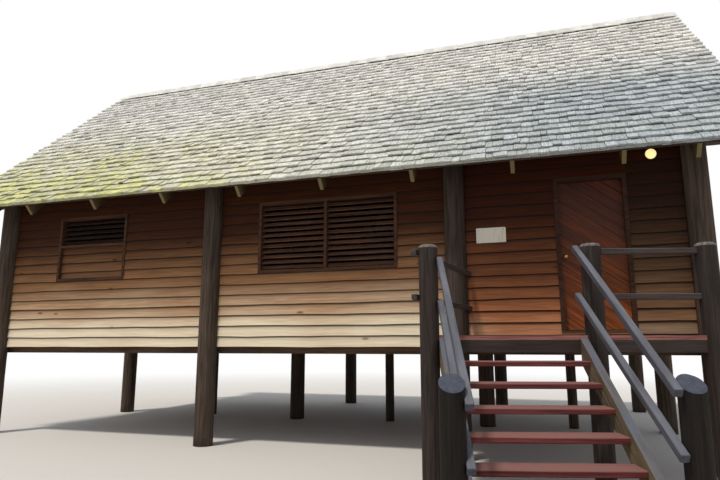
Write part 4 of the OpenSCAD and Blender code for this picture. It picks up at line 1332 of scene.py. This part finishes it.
class HOUSE_OT_stage(bpy.types.Operator):
    """Pale floor, soft light and the camera at the entry side"""

    bl_idname = "house.stage"
    bl_label = "Stage"

    def execute(self, context):
        self.floor()
        self.light(context.scene.house_look)
        self.camera()
        context.scene.view_settings.view_transform = "Standard"
        return {"FINISHED"}

    def floor(self):
        """A wide pale floor that fades to the white of the backdrop far from the house."""
        material, tree, shader = new_material("pale_floor", Base_Color=colour("#cfcbc4"), Roughness=0.9)
        away = add(tree, "length", add(tree, "place"))
        fade = add(tree, "multiply", add(tree, "spread", away, 9.0, 26.0), add(tree, "Is Camera Ray"))
        glow = add(tree, "emission", colour("#ffffff"), 1.0)
        out = shader.outputs[0].links[0].to_socket
        tree.links.new(add(tree, "mix shader", fade, shader.outputs[0], glow), out)
        mesh = bpy.data.meshes.new("pale_floor")
        radius, sides = 60.0, 96
        mesh.from_pydata([(x, y, 0) for x, y in circle(radius, sides)], [], [tuple(range(sides))])
        mesh.materials.append(material)
        floor = put("pale_floor", mesh)
        floor.location = (5.5, 2.0, -0.001)

    def light(self, look):
        """A high key light in front, a little to the left, and an even fill from all round."""
        lamp = bpy.data.lights.new("key", "SUN")
        lamp.energy = look.sun
        lamp.angle = math.radians(7)
        lamp.color = linear("#fff9f1")
        put("key", lamp).rotation_euler = (math.radians(24), math.radians(-12), 0)
        world = bpy.data.worlds.new("studio")
        world.use_nodes = True
        tree = world.node_tree
        tree.nodes.clear()
        seen = add(tree, "maximum", add(tree, "Is Camera Ray"), add(tree, "Is Glossy Ray"))
        seen = add(tree, "maximum", seen, add(tree, "Is Transmission Ray"))
        fill = add(tree, "background", colour("#e9f0fb"), look.fill)
        white = add(tree, "background", colour("#ffffff"), 1.0)
        add(tree, "world output", add(tree, "mix shader", seen, fill, white))
        bpy.context.scene.world = world

    def camera(self):
        """Eye level, in front of the right-hand end, turned a little to the left and up."""
        lens = bpy.data.cameras.new("entry_view")
        lens.sensor_width = 36.0
        lens.lens = 29.15
        lens.clip_end = 300.0
        view = put("entry_view", lens)
        view.location = (9.27, -8.04, 1.475)
        view.rotation_euler = (math.radians(100.3), 0.0, math.radians(17.7))
        bpy.context.scene.camera = view


OPERATORS = (HOUSE_OT_framing, HOUSE_OT_poles, HOUSE_OT_floor, HOUSE_OT_cladding, HOUSE_OT_window_panel,
             HOUSE_OT_door, HOUSE_OT_number_plate, HOUSE_OT_roof, HOUSE_OT_deck, HOUSE_OT_rails,
             HOUSE_OT_treads, HOUSE_OT_stage)
GROUPS = {"house_cladding": HouseCladding, "house_roof": HouseRoof, "house_poles": HousePoles,
          "house_deck": HouseDeck, "house_door": HouseDoor, "house_look": HouseLook}


class HOUSE_PT_panel(bpy.types.Panel):
    """Lists the sizes and the steps that dress the house"""

    bl_idname = "HOUSE_PT_panel"
    bl_label = "Stilt House"
    bl_space_type = "VIEW_3D"
    bl_region_type = "UI"
    bl_category = "Stilt House"

    def draw(self, context):
        for group in GROUPS:
            box = self.layout.box()
            settings = getattr(context.scene, group)
            for key in settings.bl_rna.properties.keys():
                if key not in ("rna_type", "name"):
                    box.prop(settings, key)
        for step in OPERATORS:
            self.layout.operator(step.bl_idname)


def register():
    for part in (*GROUPS.values(), *OPERATORS, HOUSE_PT_panel):
        bpy.utils.register_class(part)
    for name, group in GROUPS.items():
        setattr(bpy.types.Scene, name, PointerProperty(type=group))


def unregister():
    for name in GROUPS:
        delattr(bpy.types.Scene, name)
    for part in (HOUSE_PT_panel, *reversed(OPERATORS), *reversed(list(GROUPS.values()))):
        bpy.utils.unregister_class(part)


def main():
    """Dresses the house step by step."""
    register()
    for step in OPERATORS:
        getattr(bpy.ops.house, step.bl_idname.split(".")[1])()


if __name__ == "__main__":
    main()
